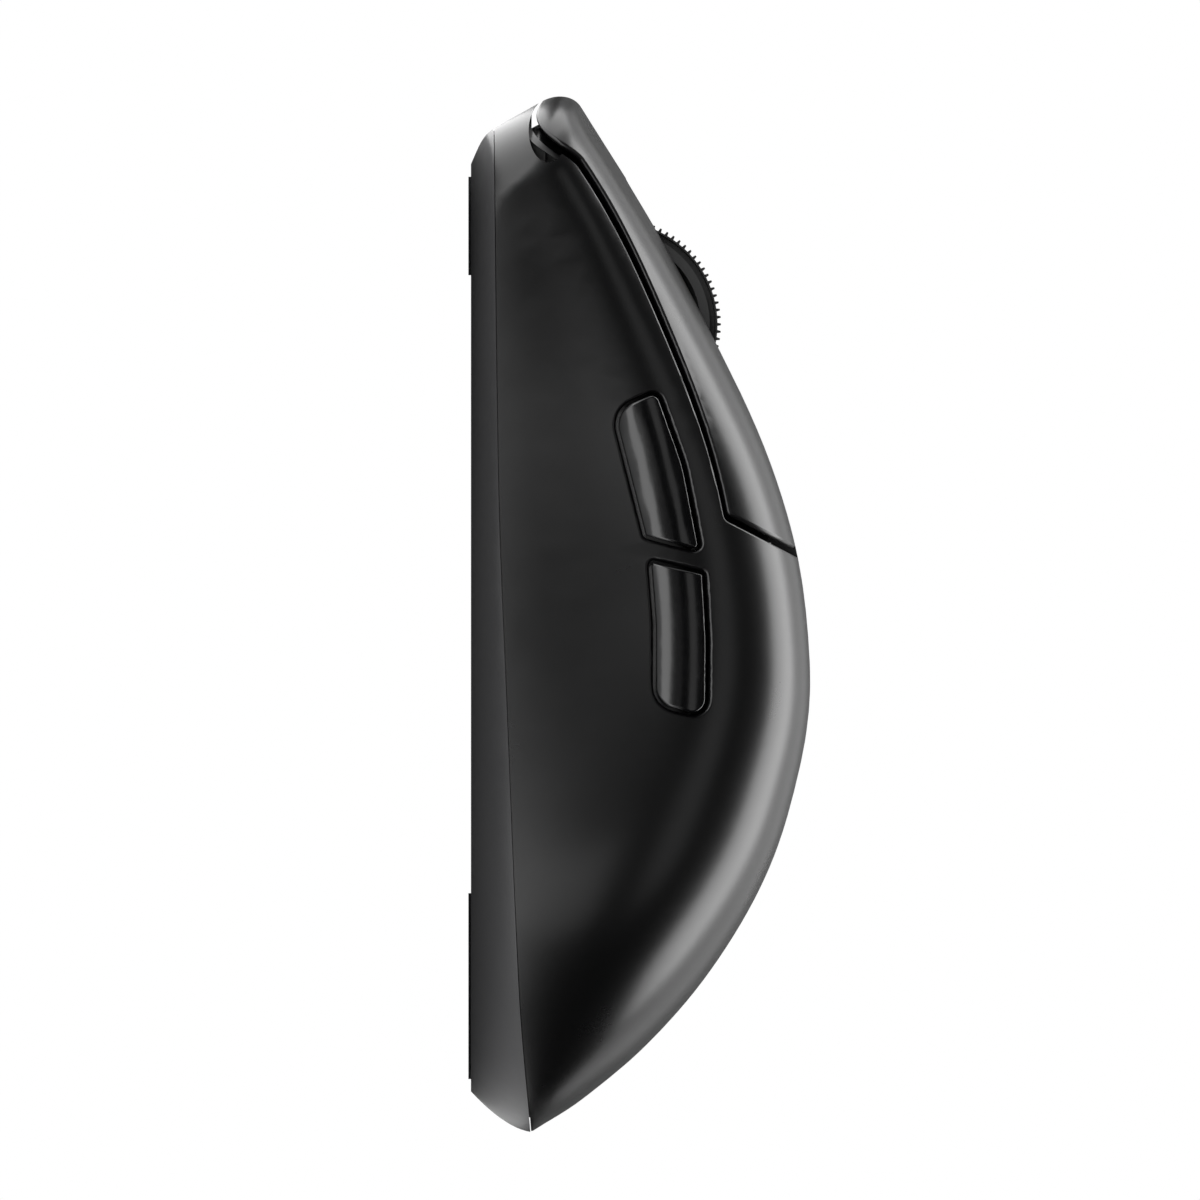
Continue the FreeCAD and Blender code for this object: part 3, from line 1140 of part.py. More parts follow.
def build():
    """Writes every piece."""
    os.makedirs("parts", exist_ok=True)
    save("base_shell", base_shell())
    save("top_shell", top_shell())
    save("front_skate", skate(True))
    save("rear_skate", skate(False))
    save("shell_screws", shell_screws())
    plate = click_plate()
    save("left_click_plate", plate)
    save("right_click_plate", mirrored(plate))
    save("plate_screws", plate_screws())
    for name, hole, press in (("forward", FORWARD_HOLE, FORWARD_PRESS), ("back", BACK_HOLE, BACK_PRESS)):
        save(name + "_button", side_button(hole, press))
        case, plunger = side_switch(press)
        save(name + "_switch", case)
        save(name + "_plunger", plunger)
    save("main_board", main_board())
    save("board_screws", board_screws())
    save("side_board", side_board())
    save("side_board_screws", side_board_screws())
    for name, side in (("left", -1), ("right", 1)):
        case, plunger = click_switch(side)
        save(name + "_click_switch", case)
        save(name + "_click_plunger", plunger)
    case, plunger = middle_switch()
    save("middle_switch", case)
    save("middle_plunger", plunger)
    save("sensor_lens", sensor_lens())
    save("motion_sensor", motion_sensor())
    save("board_chips", board_chips())
    save("charging_socket", charging_socket())
    save("battery", battery())
    save("battery_pad", battery_pad())
    save("battery_plug", battery_plug())
    save("battery_leads", battery_leads())
    strip, plug = ribbon()
    save("ribbon", strip)
    save("ribbon_plug", plug)
    save("wheel_lamp", wheel_eye(-1))
    save("wheel_receiver", wheel_eye(1))
    save("power_switch", power_switch())
    save("power_slider", power_slider())
    button, case = dpi_parts()
    save("dpi_button", button)
    save("dpi_switch", case)
    save("wheel_hub", wheel_hub())
    save("wheel_tyre", wheel_tyre())
    save("wheel_axle", wheel_axle())
    save("wheel_carriage", carriage())


build()
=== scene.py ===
"""Look of the wireless gaming mouse: finishes, small modelled details and a plain studio."""

import logging
import math
from dataclasses import dataclass
from enum import Enum

import bpy
import numpy as np
from mathutils import Matrix, Vector


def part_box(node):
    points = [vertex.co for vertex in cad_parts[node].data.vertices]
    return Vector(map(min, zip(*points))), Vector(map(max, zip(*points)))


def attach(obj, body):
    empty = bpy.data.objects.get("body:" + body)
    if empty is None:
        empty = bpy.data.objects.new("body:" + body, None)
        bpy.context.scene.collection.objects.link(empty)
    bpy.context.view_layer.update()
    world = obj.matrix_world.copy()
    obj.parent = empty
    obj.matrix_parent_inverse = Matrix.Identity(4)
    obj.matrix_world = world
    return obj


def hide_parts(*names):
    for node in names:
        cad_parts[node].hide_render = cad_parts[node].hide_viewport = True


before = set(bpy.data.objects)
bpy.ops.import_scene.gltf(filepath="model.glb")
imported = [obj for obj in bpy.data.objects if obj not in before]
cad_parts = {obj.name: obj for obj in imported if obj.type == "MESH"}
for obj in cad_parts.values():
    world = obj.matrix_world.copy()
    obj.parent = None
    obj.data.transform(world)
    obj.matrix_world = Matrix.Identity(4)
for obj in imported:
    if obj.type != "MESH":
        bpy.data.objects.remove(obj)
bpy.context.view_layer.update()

Colour = tuple[float, float, float]
Point = tuple[float, float, float]
Range = tuple[float, float]
Socket = bpy.types.NodeSocket

LOG = logging.getLogger("mouse")
MM = 0.001
MERGE_REACH = 0.001 * MM
SHARP_EDGE = math.radians(35)

# Least divisors, for a length or an area and for a product of two squared lengths
TINY = 1e-12
TINY_PRODUCT = 1e-16

# Sockets of the Mix node for colours, whose names repeat
MIX_FACTOR = 0
MIX_FIRST = 6
MIX_SECOND = 7
MIX_COLOUR = 2


class Pattern(Enum):
    """Fine pattern that a finish carries."""

    MOULDED = "spark-eroded grain of a moulding tool"
    TURNED = "rings left by a lathe"
    BOARD = "copper tracks under a solder mask"
    FOIL = "creased wrap"
    PADDED = "open foam cells"


class Spread(Enum):
    """How strongly the gloss of a finish wanders over the surface."""

    FRESH = 0.01
    EVEN = 0.03
    HANDLED = 0.07
    UNEVEN = 0.14


class Band(Enum):
    """Part of a factor's range that one effect uses."""

    MIDDLE = (0.3, 0.7)
    WORN = (0.35, 0.6)
    BLOTCH = (0.4, 0.75)
    SPECK = (0.42, 0.72)
    CREASE = (0.45, 0.62)
    SMEAR = (0.45, 0.8)
    CELL = (0.1, 0.6)
    MASK = (0.5, 0.9)
    TURNED_EDGE = (0.97, 0.85)


class Nodes:
    """Builds the node tree of one material.

    Attributes:
        tree: the material's node tree.
        shader: its Principled BSDF.
    """

    def __init__(self, name: str) -> None:
        """Starts a material that holds only its shader and output.

        Args:
            name: the material's name.
        """
        self.material = bpy.data.materials.new(name)
        self.material.use_nodes = True
        self.tree = self.material.node_tree
        self.shader = self.tree.nodes["Principled BSDF"]
        self.place = self.add("ShaderNodeTexCoord").outputs["Object"]

    def add(self, kind: str, **settings: object) -> bpy.types.Node:
        """Adds a node and sets its properties.

        Args:
            kind: the node's type name.
            **settings: properties of the node, by name.

        Returns:
            The new node.
        """
        node = self.tree.nodes.new(kind)
        for key, value in settings.items():
            setattr(node, key, value)
        return node

    def feed(self, socket: Socket, source: object) -> None:
        """Links a socket to a source, or sets it where the source is a plain value.

        Args:
            socket: the input socket.
            source: an output socket, a number or a tuple.
        """
        if isinstance(source, Socket):
            self.tree.links.new(source, socket)
        else:
            socket.default_value = source

    def noise(self, size: float, detail: float = 2.0, warp: float = 0.0) -> Socket:
        """Noise over the piece's own coordinates.

        Args:
            size: distance between blobs in metres.
            detail: octaves of finer noise.
            warp: distortion of the noise.

        Returns:
            The factor output.
        """
        node = self.add("ShaderNodeTexNoise")
        self.feed(node.inputs["Vector"], self.place)
        node.inputs["Scale"].default_value = 1.0 / size
        node.inputs["Detail"].default_value = detail
        node.inputs["Distortion"].default_value = warp
        return node.outputs["Fac"]

    def span(self, source: Socket, band: Band, to: Range = (0.0, 1.0)) -> Socket:
        """Maps a factor from one range to another and clamps it.

        Args:
            source: the factor.
            band: the part of its range that is used.
            to: the new range's first and last value.

        Returns:
            The mapped factor.
        """
        node = self.add("ShaderNodeMapRange")
        self.feed(node.inputs["Value"], source)
        node.inputs["From Min"].default_value = band.value[0]
        node.inputs["From Max"].default_value = band.value[1]
        node.inputs["To Min"].default_value = to[0]
        node.inputs["To Max"].default_value = to[1]
        return node.outputs["Result"]

    def maths(self, kind: str, first: object, second: object = 0.0) -> Socket:
        """One step of arithmetic.

        Args:
            kind: the operation.
            first: a socket or number.
            second: a socket or number.

        Returns:
            The result.
        """
        node = self.add("ShaderNodeMath", operation=kind)
        self.feed(node.inputs[0], first)
        self.feed(node.inputs[1], second)
        return node.outputs[0]

    def blend(self, factor: object, first: object, second: object) -> Socket:
        """Mixes two colours.

        Args:
            factor: share of the second colour.
            first: a colour or socket.
            second: a colour or socket.

        Returns:
            The mixed colour.
        """
        node = self.add("ShaderNodeMix", data_type="RGBA")
        self.feed(node.inputs[MIX_FACTOR], factor)
        self.feed(node.inputs[MIX_FIRST], first)
        self.feed(node.inputs[MIX_SECOND], second)
        return node.outputs[MIX_COLOUR]

    def edges(self, reach: float) -> Socket:
        """Mask that is one along the piece's outer edges and zero on its flats.

        Args:
            reach: width of the worn strip in metres.

        Returns:
            The mask.
        """
        rounded = self.add("ShaderNodeBevel", samples=4)
        rounded.inputs["Radius"].default_value = reach
        flat = self.add("ShaderNodeNewGeometry")
        dot = self.add("ShaderNodeVectorMath", operation="DOT_PRODUCT")
        self.feed(dot.inputs[0], rounded.outputs[0])
        self.feed(dot.inputs[1], flat.outputs["Normal"])
        return self.span(dot.outputs["Value"], Band.TURNED_EDGE)

    def relief(self, height: Socket, depth: float) -> Socket:
        """Turns a height into a bumped normal.

        Args:
            height: the height, from zero to one.
            depth: what a height of one stands for, in metres.

        Returns:
            The normal.
        """
        node = self.add("ShaderNodeBump")
        node.inputs["Strength"].default_value = 1.0
        node.inputs["Distance"].default_value = depth
        self.feed(node.inputs["Height"], height)
        return node.outputs["Normal"]


def rgba(colour: Colour) -> tuple[float, float, float, float]:
    """The colour with full opacity."""
    return (*colour, 1.0)


@dataclass(frozen=True)
class SharedFinish:
    """What the finishes share, in metres and in steps of roughness.

    Attributes:
        blotch: size of the slow changes over a piece.
        smear: size of the smears that fingers leave.
        crease: size of the creases of a wrap.
        strip: width of the worn strip along an edge.
        polish: how much smoother a worn strip is.
        least_rough: roughness below which no finish goes.
        coat_rough: roughness of a clear coat.
    """

    blotch: float = 18.0 * MM
    smear: float = 2.1 * MM
    crease: float = 6.0 * MM
    strip: float = 0.25 * MM
    polish: float = 0.08
    least_rough: float = 0.04
    coat_rough: float = 0.12


SHARED = SharedFinish()


@dataclass(frozen=True)
class Finish:
    """A finish of the mouse.

    Attributes:
        name: plain name of the finish.
        slot: the record's material slot, which the script doesn't use.
        colour: main colour, linear.
        second: colour of its variation and of worn edges.
        rough: middle roughness.
        spread: how far the roughness wanders.
        grain: size of the fine grain in metres.
        depth: depth of that grain in metres.
        metal: one for bare metal.
        gloss: specular level, 0.5 for plain plastic.
        coat: weight of a clear coat.
        clear: share of light that passes through.
        soft: weight of sheen on rubber and foam.
        pattern: the fine pattern.
    """

    name: str
    slot: str
    colour: Colour
    second: Colour
    rough: float
    spread: Spread = Spread.HANDLED
    grain: float = 0.12 * MM
    depth: float = 0.004 * MM
    metal: float = 0.0
    gloss: float = 0.5
    coat: float = 0.0
    clear: float = 0.0
    soft: float = 0.0
    pattern: Pattern = Pattern.MOULDED

    def material(self) -> bpy.types.Material:
        """Makes the finish's material, once.

        Returns:
            The node material.
        """
        if self.name in bpy.data.materials:
            return bpy.data.materials[self.name]
        nodes = Nodes(self.name)
        broad = nodes.noise(SHARED.blotch, detail=3.0, warp=0.4)
        worn = nodes.maths("MULTIPLY", nodes.edges(SHARED.strip), nodes.span(broad, Band.WORN, (0.15, 0.8)))
        tint, height = self.tint(nodes, broad)
        nodes.feed(nodes.shader.inputs["Base Color"], nodes.blend(worn, tint, rgba(self.second)))
        nodes.feed(nodes.shader.inputs["Roughness"], self.roughness(nodes, broad, worn))
        nodes.feed(nodes.shader.inputs["Normal"], nodes.relief(height, self.depth))
        self.settle(nodes.shader)
        return nodes.material

    def roughness(self, nodes: Nodes, broad: Socket, worn: Socket) -> Socket:
        """Roughness that wanders slowly, rises in smears and falls on worn edges.

        Args:
            nodes: the material being built.
            broad: slow noise over the piece.
            worn: mask of the worn edges.

        Returns:
            The roughness.
        """
        wander = self.spread.value
        rough = nodes.span(broad, Band.MIDDLE, (self.rough - wander, self.rough + wander))
        fingers = nodes.noise(SHARED.smear, detail=4.0, warp=1.2)
        smears = nodes.span(fingers, Band.SMEAR, (0.0, wander))
        polished = nodes.maths("MULTIPLY", worn, -SHARED.polish)
        level = nodes.maths("ADD", nodes.maths("ADD", rough, smears), polished)
        return nodes.maths("MAXIMUM", level, SHARED.least_rough)

    def tint(self, nodes: Nodes, broad: Socket) -> tuple[Socket, Socket]:
        """Colour and height of the finish's own pattern.

        Args:
            nodes: the material being built.
            broad: slow noise over the piece.

        Returns:
            The colour and the height.
        """
        share, height = {
            Pattern.MOULDED: self.moulded,
            Pattern.TURNED: self.turned,
            Pattern.BOARD: self.board,
            Pattern.FOIL: self.foil,
            Pattern.PADDED: self.padded,
        }[self.pattern](nodes, broad)
        return nodes.blend(share, rgba(self.colour), rgba(self.second)), height

    def moulded(self, nodes: Nodes, broad: Socket) -> tuple[Socket, Socket]:
        """Fine grain of a moulding, with slow changes of shade.

        Args:
            nodes: the material being built.
            broad: slow noise over the piece.

        Returns:
            The second colour's share and the height.
        """
        fine = nodes.noise(self.grain, detail=3.0)
        speck = nodes.span(fine, Band.SPECK, (0.0, 0.35))
        return nodes.maths("ADD", speck, nodes.span(broad, Band.BLOTCH, (0.0, 0.2))), fine

    def turned(self, nodes: Nodes, broad: Socket) -> tuple[Socket, Socket]:
        """Rings that a lathe leaves.

        Args:
            nodes: the material being built.
            broad: slow noise over the piece, which the rings don't follow.

        Returns:
            The second colour's share and the height.
        """
        wave = nodes.add("ShaderNodeTexWave", wave_type="RINGS", rings_direction="SPHERICAL")
        nodes.feed(wave.inputs["Vector"], nodes.place)
        wave.inputs["Scale"].default_value = 1.0 / self.grain
        wave.inputs["Distortion"].default_value = 0.6
        return nodes.maths("MULTIPLY", wave.outputs["Fac"], 0.45), wave.outputs["Fac"]

    def foil(self, nodes: Nodes, broad: Socket) -> tuple[Socket, Socket]:
        """Creases of a wrap.

        Args:
            nodes: the material being built.
            broad: slow noise over the piece, which the creases don't follow.

        Returns:
            The second colour's share and the height.
        """
        crease = nodes.noise(SHARED.crease, detail=5.0, warp=2.0)
        return nodes.span(crease, Band.CREASE, (0.0, 0.5)), crease

    def padded(self, nodes: Nodes, broad: Socket) -> tuple[Socket, Socket]:
        """Open cells of foam.

        Args:
            nodes: the material being built.
            broad: slow noise over the piece, which the cells don't follow.

        Returns:
            The second colour's share and the height.
        """
        cells = nodes.add("ShaderNodeTexVoronoi")
        nodes.feed(cells.inputs["Vector"], nodes.place)
        cells.inputs["Scale"].default_value = 1.0 / self.grain
        share = nodes.span(cells.outputs["Distance"], Band.CELL)
        return share, share

    def board(self, nodes: Nodes, broad: Socket) -> tuple[Socket, Socket]:
        """Tracks and solder mask of a circuit board.

        Args:
            nodes: the material being built.
            broad: slow noise over the piece, which the tracks don't follow.

        Returns:
            The second colour's share and the height.
        """
        tracks = nodes.add("ShaderNodeTexBrick", offset=0.5, squash=2.0, squash_frequency=3)
        nodes.feed(tracks.inputs["Vector"], nodes.place)
        tracks.inputs["Scale"].default_value = 220.0
        tracks.inputs["Mortar Size"].default_value = 0.035
        tracks.inputs["Mortar Smooth"].default_value = 0.2
        tracks.inputs["Brick Width"].default_value = 0.9
        tracks.inputs["Row Height"].default_value = 0.24
        mask = nodes.span(nodes.noise(self.grain, detail=3.0), Band.MASK, (0.0, 0.3))
        raised = nodes.maths("MAXIMUM", tracks.outputs["Fac"], mask)
        return raised, raised

    def settle(self, shader: bpy.types.Node) -> None:
        """Sets what is the same all over the finish on the shader itself.

        Args:
            shader: the material's Principled BSDF.
        """
        shader.inputs["Metallic"].default_value = self.metal
        shader.inputs["Specular IOR Level"].default_value = self.gloss
        shader.inputs["Coat Weight"].default_value = self.coat
        shader.inputs["Coat Roughness"].default_value = SHARED.coat_rough
        shader.inputs["Transmission Weight"].default_value = self.clear
        shader.inputs["Sheen Weight"].default_value = self.soft


SATIN = Finish("satin_black_shell", "satin_shell", (0.0018, 0.0018, 0.002), (0.0026, 0.0026, 0.0028),
               rough=0.28, spread=Spread.FRESH, depth=0.0012 * MM)
# Painted light: the base shell is the shell's black satin lightened to grey, standing for the light its
# lower band catches.
BASE_PAINTED_LIGHT = Finish("satin_black_base_painted_light", "satin_shell", (0.05, 0.05, 0.052), (0.065, 0.065, 0.067),
              rough=0.34, spread=Spread.FRESH, depth=0.0012 * MM)
GLOSS = Finish("gloss_black_button", "gloss_button", (0.0010, 0.0010, 0.0012), (0.005, 0.005, 0.0055),
               rough=0.19, spread=Spread.EVEN, grain=0.3 * MM, depth=0.001 * MM, coat=0.15)
GLIDE = Finish("glide_foot", "glide_foot", (0.022, 0.022, 0.024), (0.06, 0.06, 0.064),
               rough=0.42, spread=Spread.UNEVEN)
STEEL = Finish("screw_steel", "screw_steel", (0.11, 0.11, 0.115), (0.45, 0.45, 0.46),
               rough=0.32, spread=Spread.UNEVEN, grain=0.4 * MM, depth=0.003 * MM, metal=1.0,
               pattern=Pattern.TURNED)
GILT = Finish("contact_gilt", "socket_steel", (0.55, 0.33, 0.09), (0.68, 0.45, 0.16),
              rough=0.24, spread=Spread.EVEN, grain=0.2 * MM, depth=0.001 * MM, metal=1.0)
TIN = Finish("tinned_leads", "socket_steel", (0.34, 0.34, 0.35), (0.55, 0.55, 0.56),
             rough=0.3, spread=Spread.UNEVEN, grain=0.2 * MM, depth=0.002 * MM, metal=1.0)
CERAMIC = Finish("ceramic_chip", "switch_case", (0.20, 0.12, 0.06), (0.28, 0.19, 0.11),
                 rough=0.45, spread=Spread.UNEVEN, grain=0.08 * MM, depth=0.002 * MM)
CASE = Finish("switch_case", "switch_case", (0.012, 0.012, 0.013), (0.03, 0.03, 0.032), rough=0.42)
WHITE = Finish("plunger_white", "plunger_white", (0.72, 0.71, 0.66), (0.58, 0.57, 0.52), rough=0.38)
BOARD = Finish("circuit_board", "circuit_board", (0.006, 0.045, 0.022), (0.03, 0.13, 0.06),
               rough=0.3, spread=Spread.UNEVEN, grain=0.2 * MM, depth=0.02 * MM, coat=0.4,
               pattern=Pattern.BOARD)
FILM = Finish("ribbon_film", "ribbon_film", (0.30, 0.13, 0.03), (0.42, 0.22, 0.07), rough=0.28, coat=0.3)
LENS = Finish("clear_lens", "clear_lens", (0.055, 0.06, 0.07), (0.08, 0.085, 0.1),
              rough=0.06, spread=Spread.EVEN, grain=0.6 * MM, depth=0.0005 * MM, clear=0.85)
RESIN = Finish("lamp_resin", "lamp_resin", (0.35, 0.36, 0.42), (0.5, 0.52, 0.6),
               rough=0.14, spread=Spread.EVEN, clear=0.4)
SOCKET = Finish("socket_steel", "socket_steel", (0.42, 0.42, 0.41), (0.62, 0.62, 0.6),
                rough=0.27, spread=Spread.UNEVEN, grain=0.3 * MM, depth=0.003 * MM, metal=1.0)
FOIL = Finish("cell_foil", "cell_foil", (0.28, 0.29, 0.31), (0.46, 0.47, 0.49),
              rough=0.34, spread=Spread.UNEVEN, grain=0.4 * MM, depth=0.25 * MM, metal=0.85,
              pattern=Pattern.FOIL)
FOAM = Finish("foam_pad", "foam_pad", (0.02, 0.02, 0.021), (0.075, 0.075, 0.078),
              rough=0.85, spread=Spread.EVEN, grain=0.5 * MM, depth=0.12 * MM, soft=0.3,
              pattern=Pattern.PADDED)
SLEEVE = Finish("lead_sleeve", "lead_sleeve", (0.33, 0.012, 0.008), (0.42, 0.03, 0.02), rough=0.42)
WHEEL = Finish("wheel_plastic", "wheel_plastic", (0.006, 0.006, 0.0065), (0.02, 0.02, 0.022), rough=0.34)
TYRE = Finish("tyre_rubber", "tyre_rubber", (0.010, 0.010, 0.0105), (0.028, 0.028, 0.029),
              rough=0.62, spread=Spread.UNEVEN, grain=0.16 * MM, depth=0.01 * MM, soft=0.15)
CARRIER = Finish("carriage_plastic", "carriage_plastic", (0.010, 0.010, 0.011), (0.028, 0.028, 0.03),
                 rough=0.44)


@dataclass
class FormNormals:
    """Finds the normals of the curved faces that a CAD mesh stands for.

    Attributes:
        tangent: greatest turn in degrees between two faces that run on smoothly.
        near: distance in millimetres within which two vertices are one place.
        busy: inner vertices that a CAD face needs before its border is fitted.
        nearby: keeps the weight of the nearest neighbours finite.
        upright: least upward part of a neighbour's normal that a slope is read from.
        stiff: weight that holds the fitted form flat where nothing else does.
        flat_turn: turn, as one minus a cosine, below which a CAD face is flat.
        flat_rank: rank of a flat face, above that of any curved one.
    """

    tangent: float = 20.0
    near: float = 0.001
    busy: int = 12
    nearby: float = 0.05
    upright: float = 0.2
    stiff: float = 0.02
    flat_turn: float = 1e-6
    flat_rank: float = 1e9

    def read(self, mesh: bpy.types.Mesh) -> None:
        """Reads a mesh of triangles into arrays, in millimetres.

        Args:
            mesh: the mesh, loose where one CAD face meets the next.
        """
        mesh.calc_loop_triangles()
        self.places = np.zeros(len(mesh.vertices) * 3)
        mesh.vertices.foreach_get("co", self.places)
        self.places = self.places.reshape(-1, 3) / MM
        self.tris = np.zeros(len(mesh.polygons) * 3, int)
        mesh.polygons.foreach_get("vertices", self.tris)
        self.tris = self.tris.reshape(-1, 3)
        corners = self.places[self.tris]
        self.facets = np.cross(corners[:, 1] - corners[:, 0], corners[:, 2] - corners[:, 0])
        self.areas = np.linalg.norm(self.facets, axis=1)

    def islands(self) -> np.ndarray:
        """Finds which vertices belong to one CAD face.

        Returns:
            One number per vertex, which the vertices of a face share.
        """
        label = np.arange(len(self.places))
        while True:
            least = label[self.tris].min(axis=1)
            fresh = label.copy()
            for corner in range(3):
                np.minimum.at(fresh, self.tris[:, corner], least)
            fresh = fresh[fresh]
            if np.array_equal(fresh, label):
                return label
            label = fresh

    def ring_normals(self) -> np.ndarray:
        """Finds normals that are exact on a sphere, from the triangles round each vertex.

        Returns:
            One normal per vertex.
        """
        total = np.zeros_like(self.places)
        for turn in range(3):
            here, ahead, behind = (self.tris[:, (turn + step) % 3] for step in range(3))
            first = self.places[ahead] - self.places[here]
            second = self.places[behind] - self.places[here]
            scale = np.maximum((first**2).sum(1) * (second**2).sum(1), TINY_PRODUCT)
            np.add.at(total, here, np.cross(first, second) / scale[:, None])
        return unit(total)

    def facet_normals(self) -> np.ndarray:
        """Finds the mean of the facets round each vertex, by area.

        Returns:
            One normal per vertex.
        """
        total = np.zeros_like(self.places)
        for corner in range(3):
            np.add.at(total, self.tris[:, corner], self.facets)
        return unit(total)

    def rim(self) -> np.ndarray:
        """Finds the borders of the CAD faces, and keeps the list of edges.

        Returns:
            True for each vertex on the border of its face.
        """
        sides = np.concatenate([self.tris[:, [0, 1]], self.tris[:, [1, 2]], self.tris[:, [2, 0]]])
        sides.sort(axis=1)
        keys, counts = np.unique(sides, axis=0, return_counts=True)
        out = np.zeros(len(self.places), bool)
        out[keys[counts == 1].ravel()] = True
        self.sides = keys
        return out

    def neighbours(self) -> list[set[int]]:
        """Finds the vertices joined to each vertex by an edge.

        Returns:
            One set of vertices per vertex.
        """
        near = [set() for _ in range(len(self.places))]
        for first, second in self.sides.tolist():
            near[first].add(second)
            near[second].add(first)
        return near

    def fit(
        self, vertex: int, around: list[int], guess: np.ndarray, known: np.ndarray, inside: np.ndarray
    ) -> np.ndarray:
        """Normal at a border vertex, from a quadric through its neighbours and their normals.

        Args:
            vertex: the border vertex.
            around: vertices near it on the same face.
            guess: first idea of the normal.
            known: normals of all vertices.
            inside: true for vertices whose normal is good.

        Returns:
            The fitted normal.
        """
        if not 0.5 < np.linalg.norm(guess) < 1.5:
            return guess
        side = unit(np.cross(guess, (0.0, 0.0, 1.0) if abs(guess[2]) < 0.9 else (1.0, 0.0, 0.0)))
        axes = np.stack([side, np.cross(guess, side), guess])
        flat = (self.places[around] - self.places[vertex]) @ axes.T
        reach = np.hypot(flat[:, 0], flat[:, 1]).max()
        flat = flat / max(reach, TINY)
        x, y, z = flat.T
        pull = 1.0 / (x**2 + y**2 + self.nearby)
        rows = [np.stack([x * x, x * y, y * y, x, y], 1) * pull[:, None]]
        aims = [z * pull]
        good = inside[around]
        if good.any():
            turned = known[around][good] @ axes.T
            up = np.maximum(turned[:, 2], self.upright)
            gx, gy, zero, one = x[good], y[good], 0 * x[good], 0 * x[good] + 1
            strong = np.sqrt(pull[good])
            rows.append(np.stack([2 * gx, gy, zero, one, zero], 1) * strong[:, None])
            aims.append(-turned[:, 0] / up * strong)
            rows.append(np.stack([zero, gx, 2 * gy, zero, one], 1) * strong[:, None])
            aims.append(-turned[:, 1] / up * strong)
        rows.append(np.eye(5) * self.stiff)
        aims.append(np.zeros(5))
        answer = np.linalg.lstsq(np.concatenate(rows), np.concatenate(aims), rcond=None)[0]
        return unit(axes.T @ np.array([-answer[3], -answer[4], 1.0]))

    def solve(self, mesh: bpy.types.Mesh) -> np.ndarray:
        """Normals of all vertices.

        Args:
            mesh: the mesh, loose where one CAD face meets the next.

        Returns:
            One normal per vertex.
        """
        self.read(mesh)
        label = self.islands()
        facet = self.facet_normals()
        rim = self.rim()
        inner = np.bincount(label, ~rim, len(label))[label]
        broad = inner >= self.busy
        normals = np.where((broad & ~rim)[:, None], self.ring_normals(), facet)
        near = self.neighbours()
        for vertex in np.nonzero(broad & rim)[0].tolist():
            around = set(near[vertex])
            for other in near[vertex]:
                around |= near[other]
            around.discard(vertex)
            normals[vertex] = self.fit(vertex, sorted(around), facet[vertex], normals, ~rim)
        return self.share(normals, facet, label, inner)

    def share(
        self, normals: np.ndarray, facet: np.ndarray, label: np.ndarray, inner: np.ndarray
    ) -> np.ndarray:
        """Lets smoothly joined faces use one normal where they meet.

        Args:
            normals: one normal per vertex.
            facet: mean facet normal per vertex.
            label: CAD face of each vertex.
            inner: number of inner vertices of that face.

        Returns:
            The shared normals.
        """
        turn = np.zeros(len(label))
        low = self.facets / np.maximum(self.areas, TINY)[:, None]
        for corner in range(3):
            off = 1.0 - (low * facet[self.tris[:, corner]]).sum(1)
            np.maximum.at(turn, label[self.tris[:, corner]], off)
        rank = np.where(turn[label] < self.flat_turn, self.flat_rank, inner)
        keys = np.round(self.places / (self.near * 2)).astype(np.int64)
        groups = np.unique(keys, axis=0, return_inverse=True)[1].ravel()
        order = np.argsort(groups, kind="stable")
        starts = np.nonzero(np.diff(groups[order], prepend=-1))[0]
        limit = math.cos(math.radians(self.tangent))
        out = normals.copy()
        for start, stop in zip(starts.tolist(), [*starts[1:].tolist(), len(order)]):
            if stop - start < 2:
                continue
            here = order[start:stop]
            alike = (normals[here] @ normals[here].T) > limit
            for row, vertex in enumerate(here):
                friends = here[alike[row]]
                if not len(friends):
                    continue
                best = friends[rank[friends] >= max(rank[friends].max(), 1.0)]
                out[vertex] = unit(normals[best if len(best) else friends].sum(0))
        return out


def unit(vectors: np.ndarray) -> np.ndarray:
    """The vectors at length one."""
    return vectors / np.maximum(np.linalg.norm(vectors, axis=-1, keepdims=True), TINY)


def pick(obj: bpy.types.Object) -> None:
    """Deselects everything, then makes one object the selected and active one.

    Args:
        obj: the object.
    """
    bpy.ops.object.select_all(action="DESELECT")
    obj.select_set(True)
    bpy.context.view_layer.objects.active = obj


def smooth_copy(node: str) -> bpy.types.Object:
    """A merged copy of a CAD node that shades as the curved faces it was meshed from.

    Args:
        node: name of the CAD node.

    Returns:
        The copy, which isn't on a body yet.
    """
    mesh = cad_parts[node].data.copy()
    mesh.name = node + "_form"
    normals = FormNormals().solve(mesh)
    corners = np.zeros(len(mesh.loops), int)
    mesh.loops.foreach_get("vertex_index", corners)
    kept = mesh.attributes.new("form_normal", "FLOAT_VECTOR", "CORNER")
    kept.data.foreach_set("vector", normals[corners].astype(np.float32).ravel())
    obj = bpy.data.objects.new(node + "_form", mesh)
    bpy.context.scene.collection.objects.link(obj)
    pick(obj)
    bpy.ops.object.mode_set(mode="EDIT")
    bpy.ops.mesh.select_all(action="SELECT")
    bpy.ops.mesh.remove_doubles(threshold=MERGE_REACH)
    bpy.ops.object.mode_set(mode="OBJECT")
    kept = mesh.attributes["form_normal"]
    values = np.zeros(len(mesh.loops) * 3, np.float32)
    kept.data.foreach_get("vector", values)
    mesh.attributes.remove(kept)
    mesh.shade_smooth()
    mesh.normals_split_custom_set(values.reshape(-1, 3).tolist())
    return obj


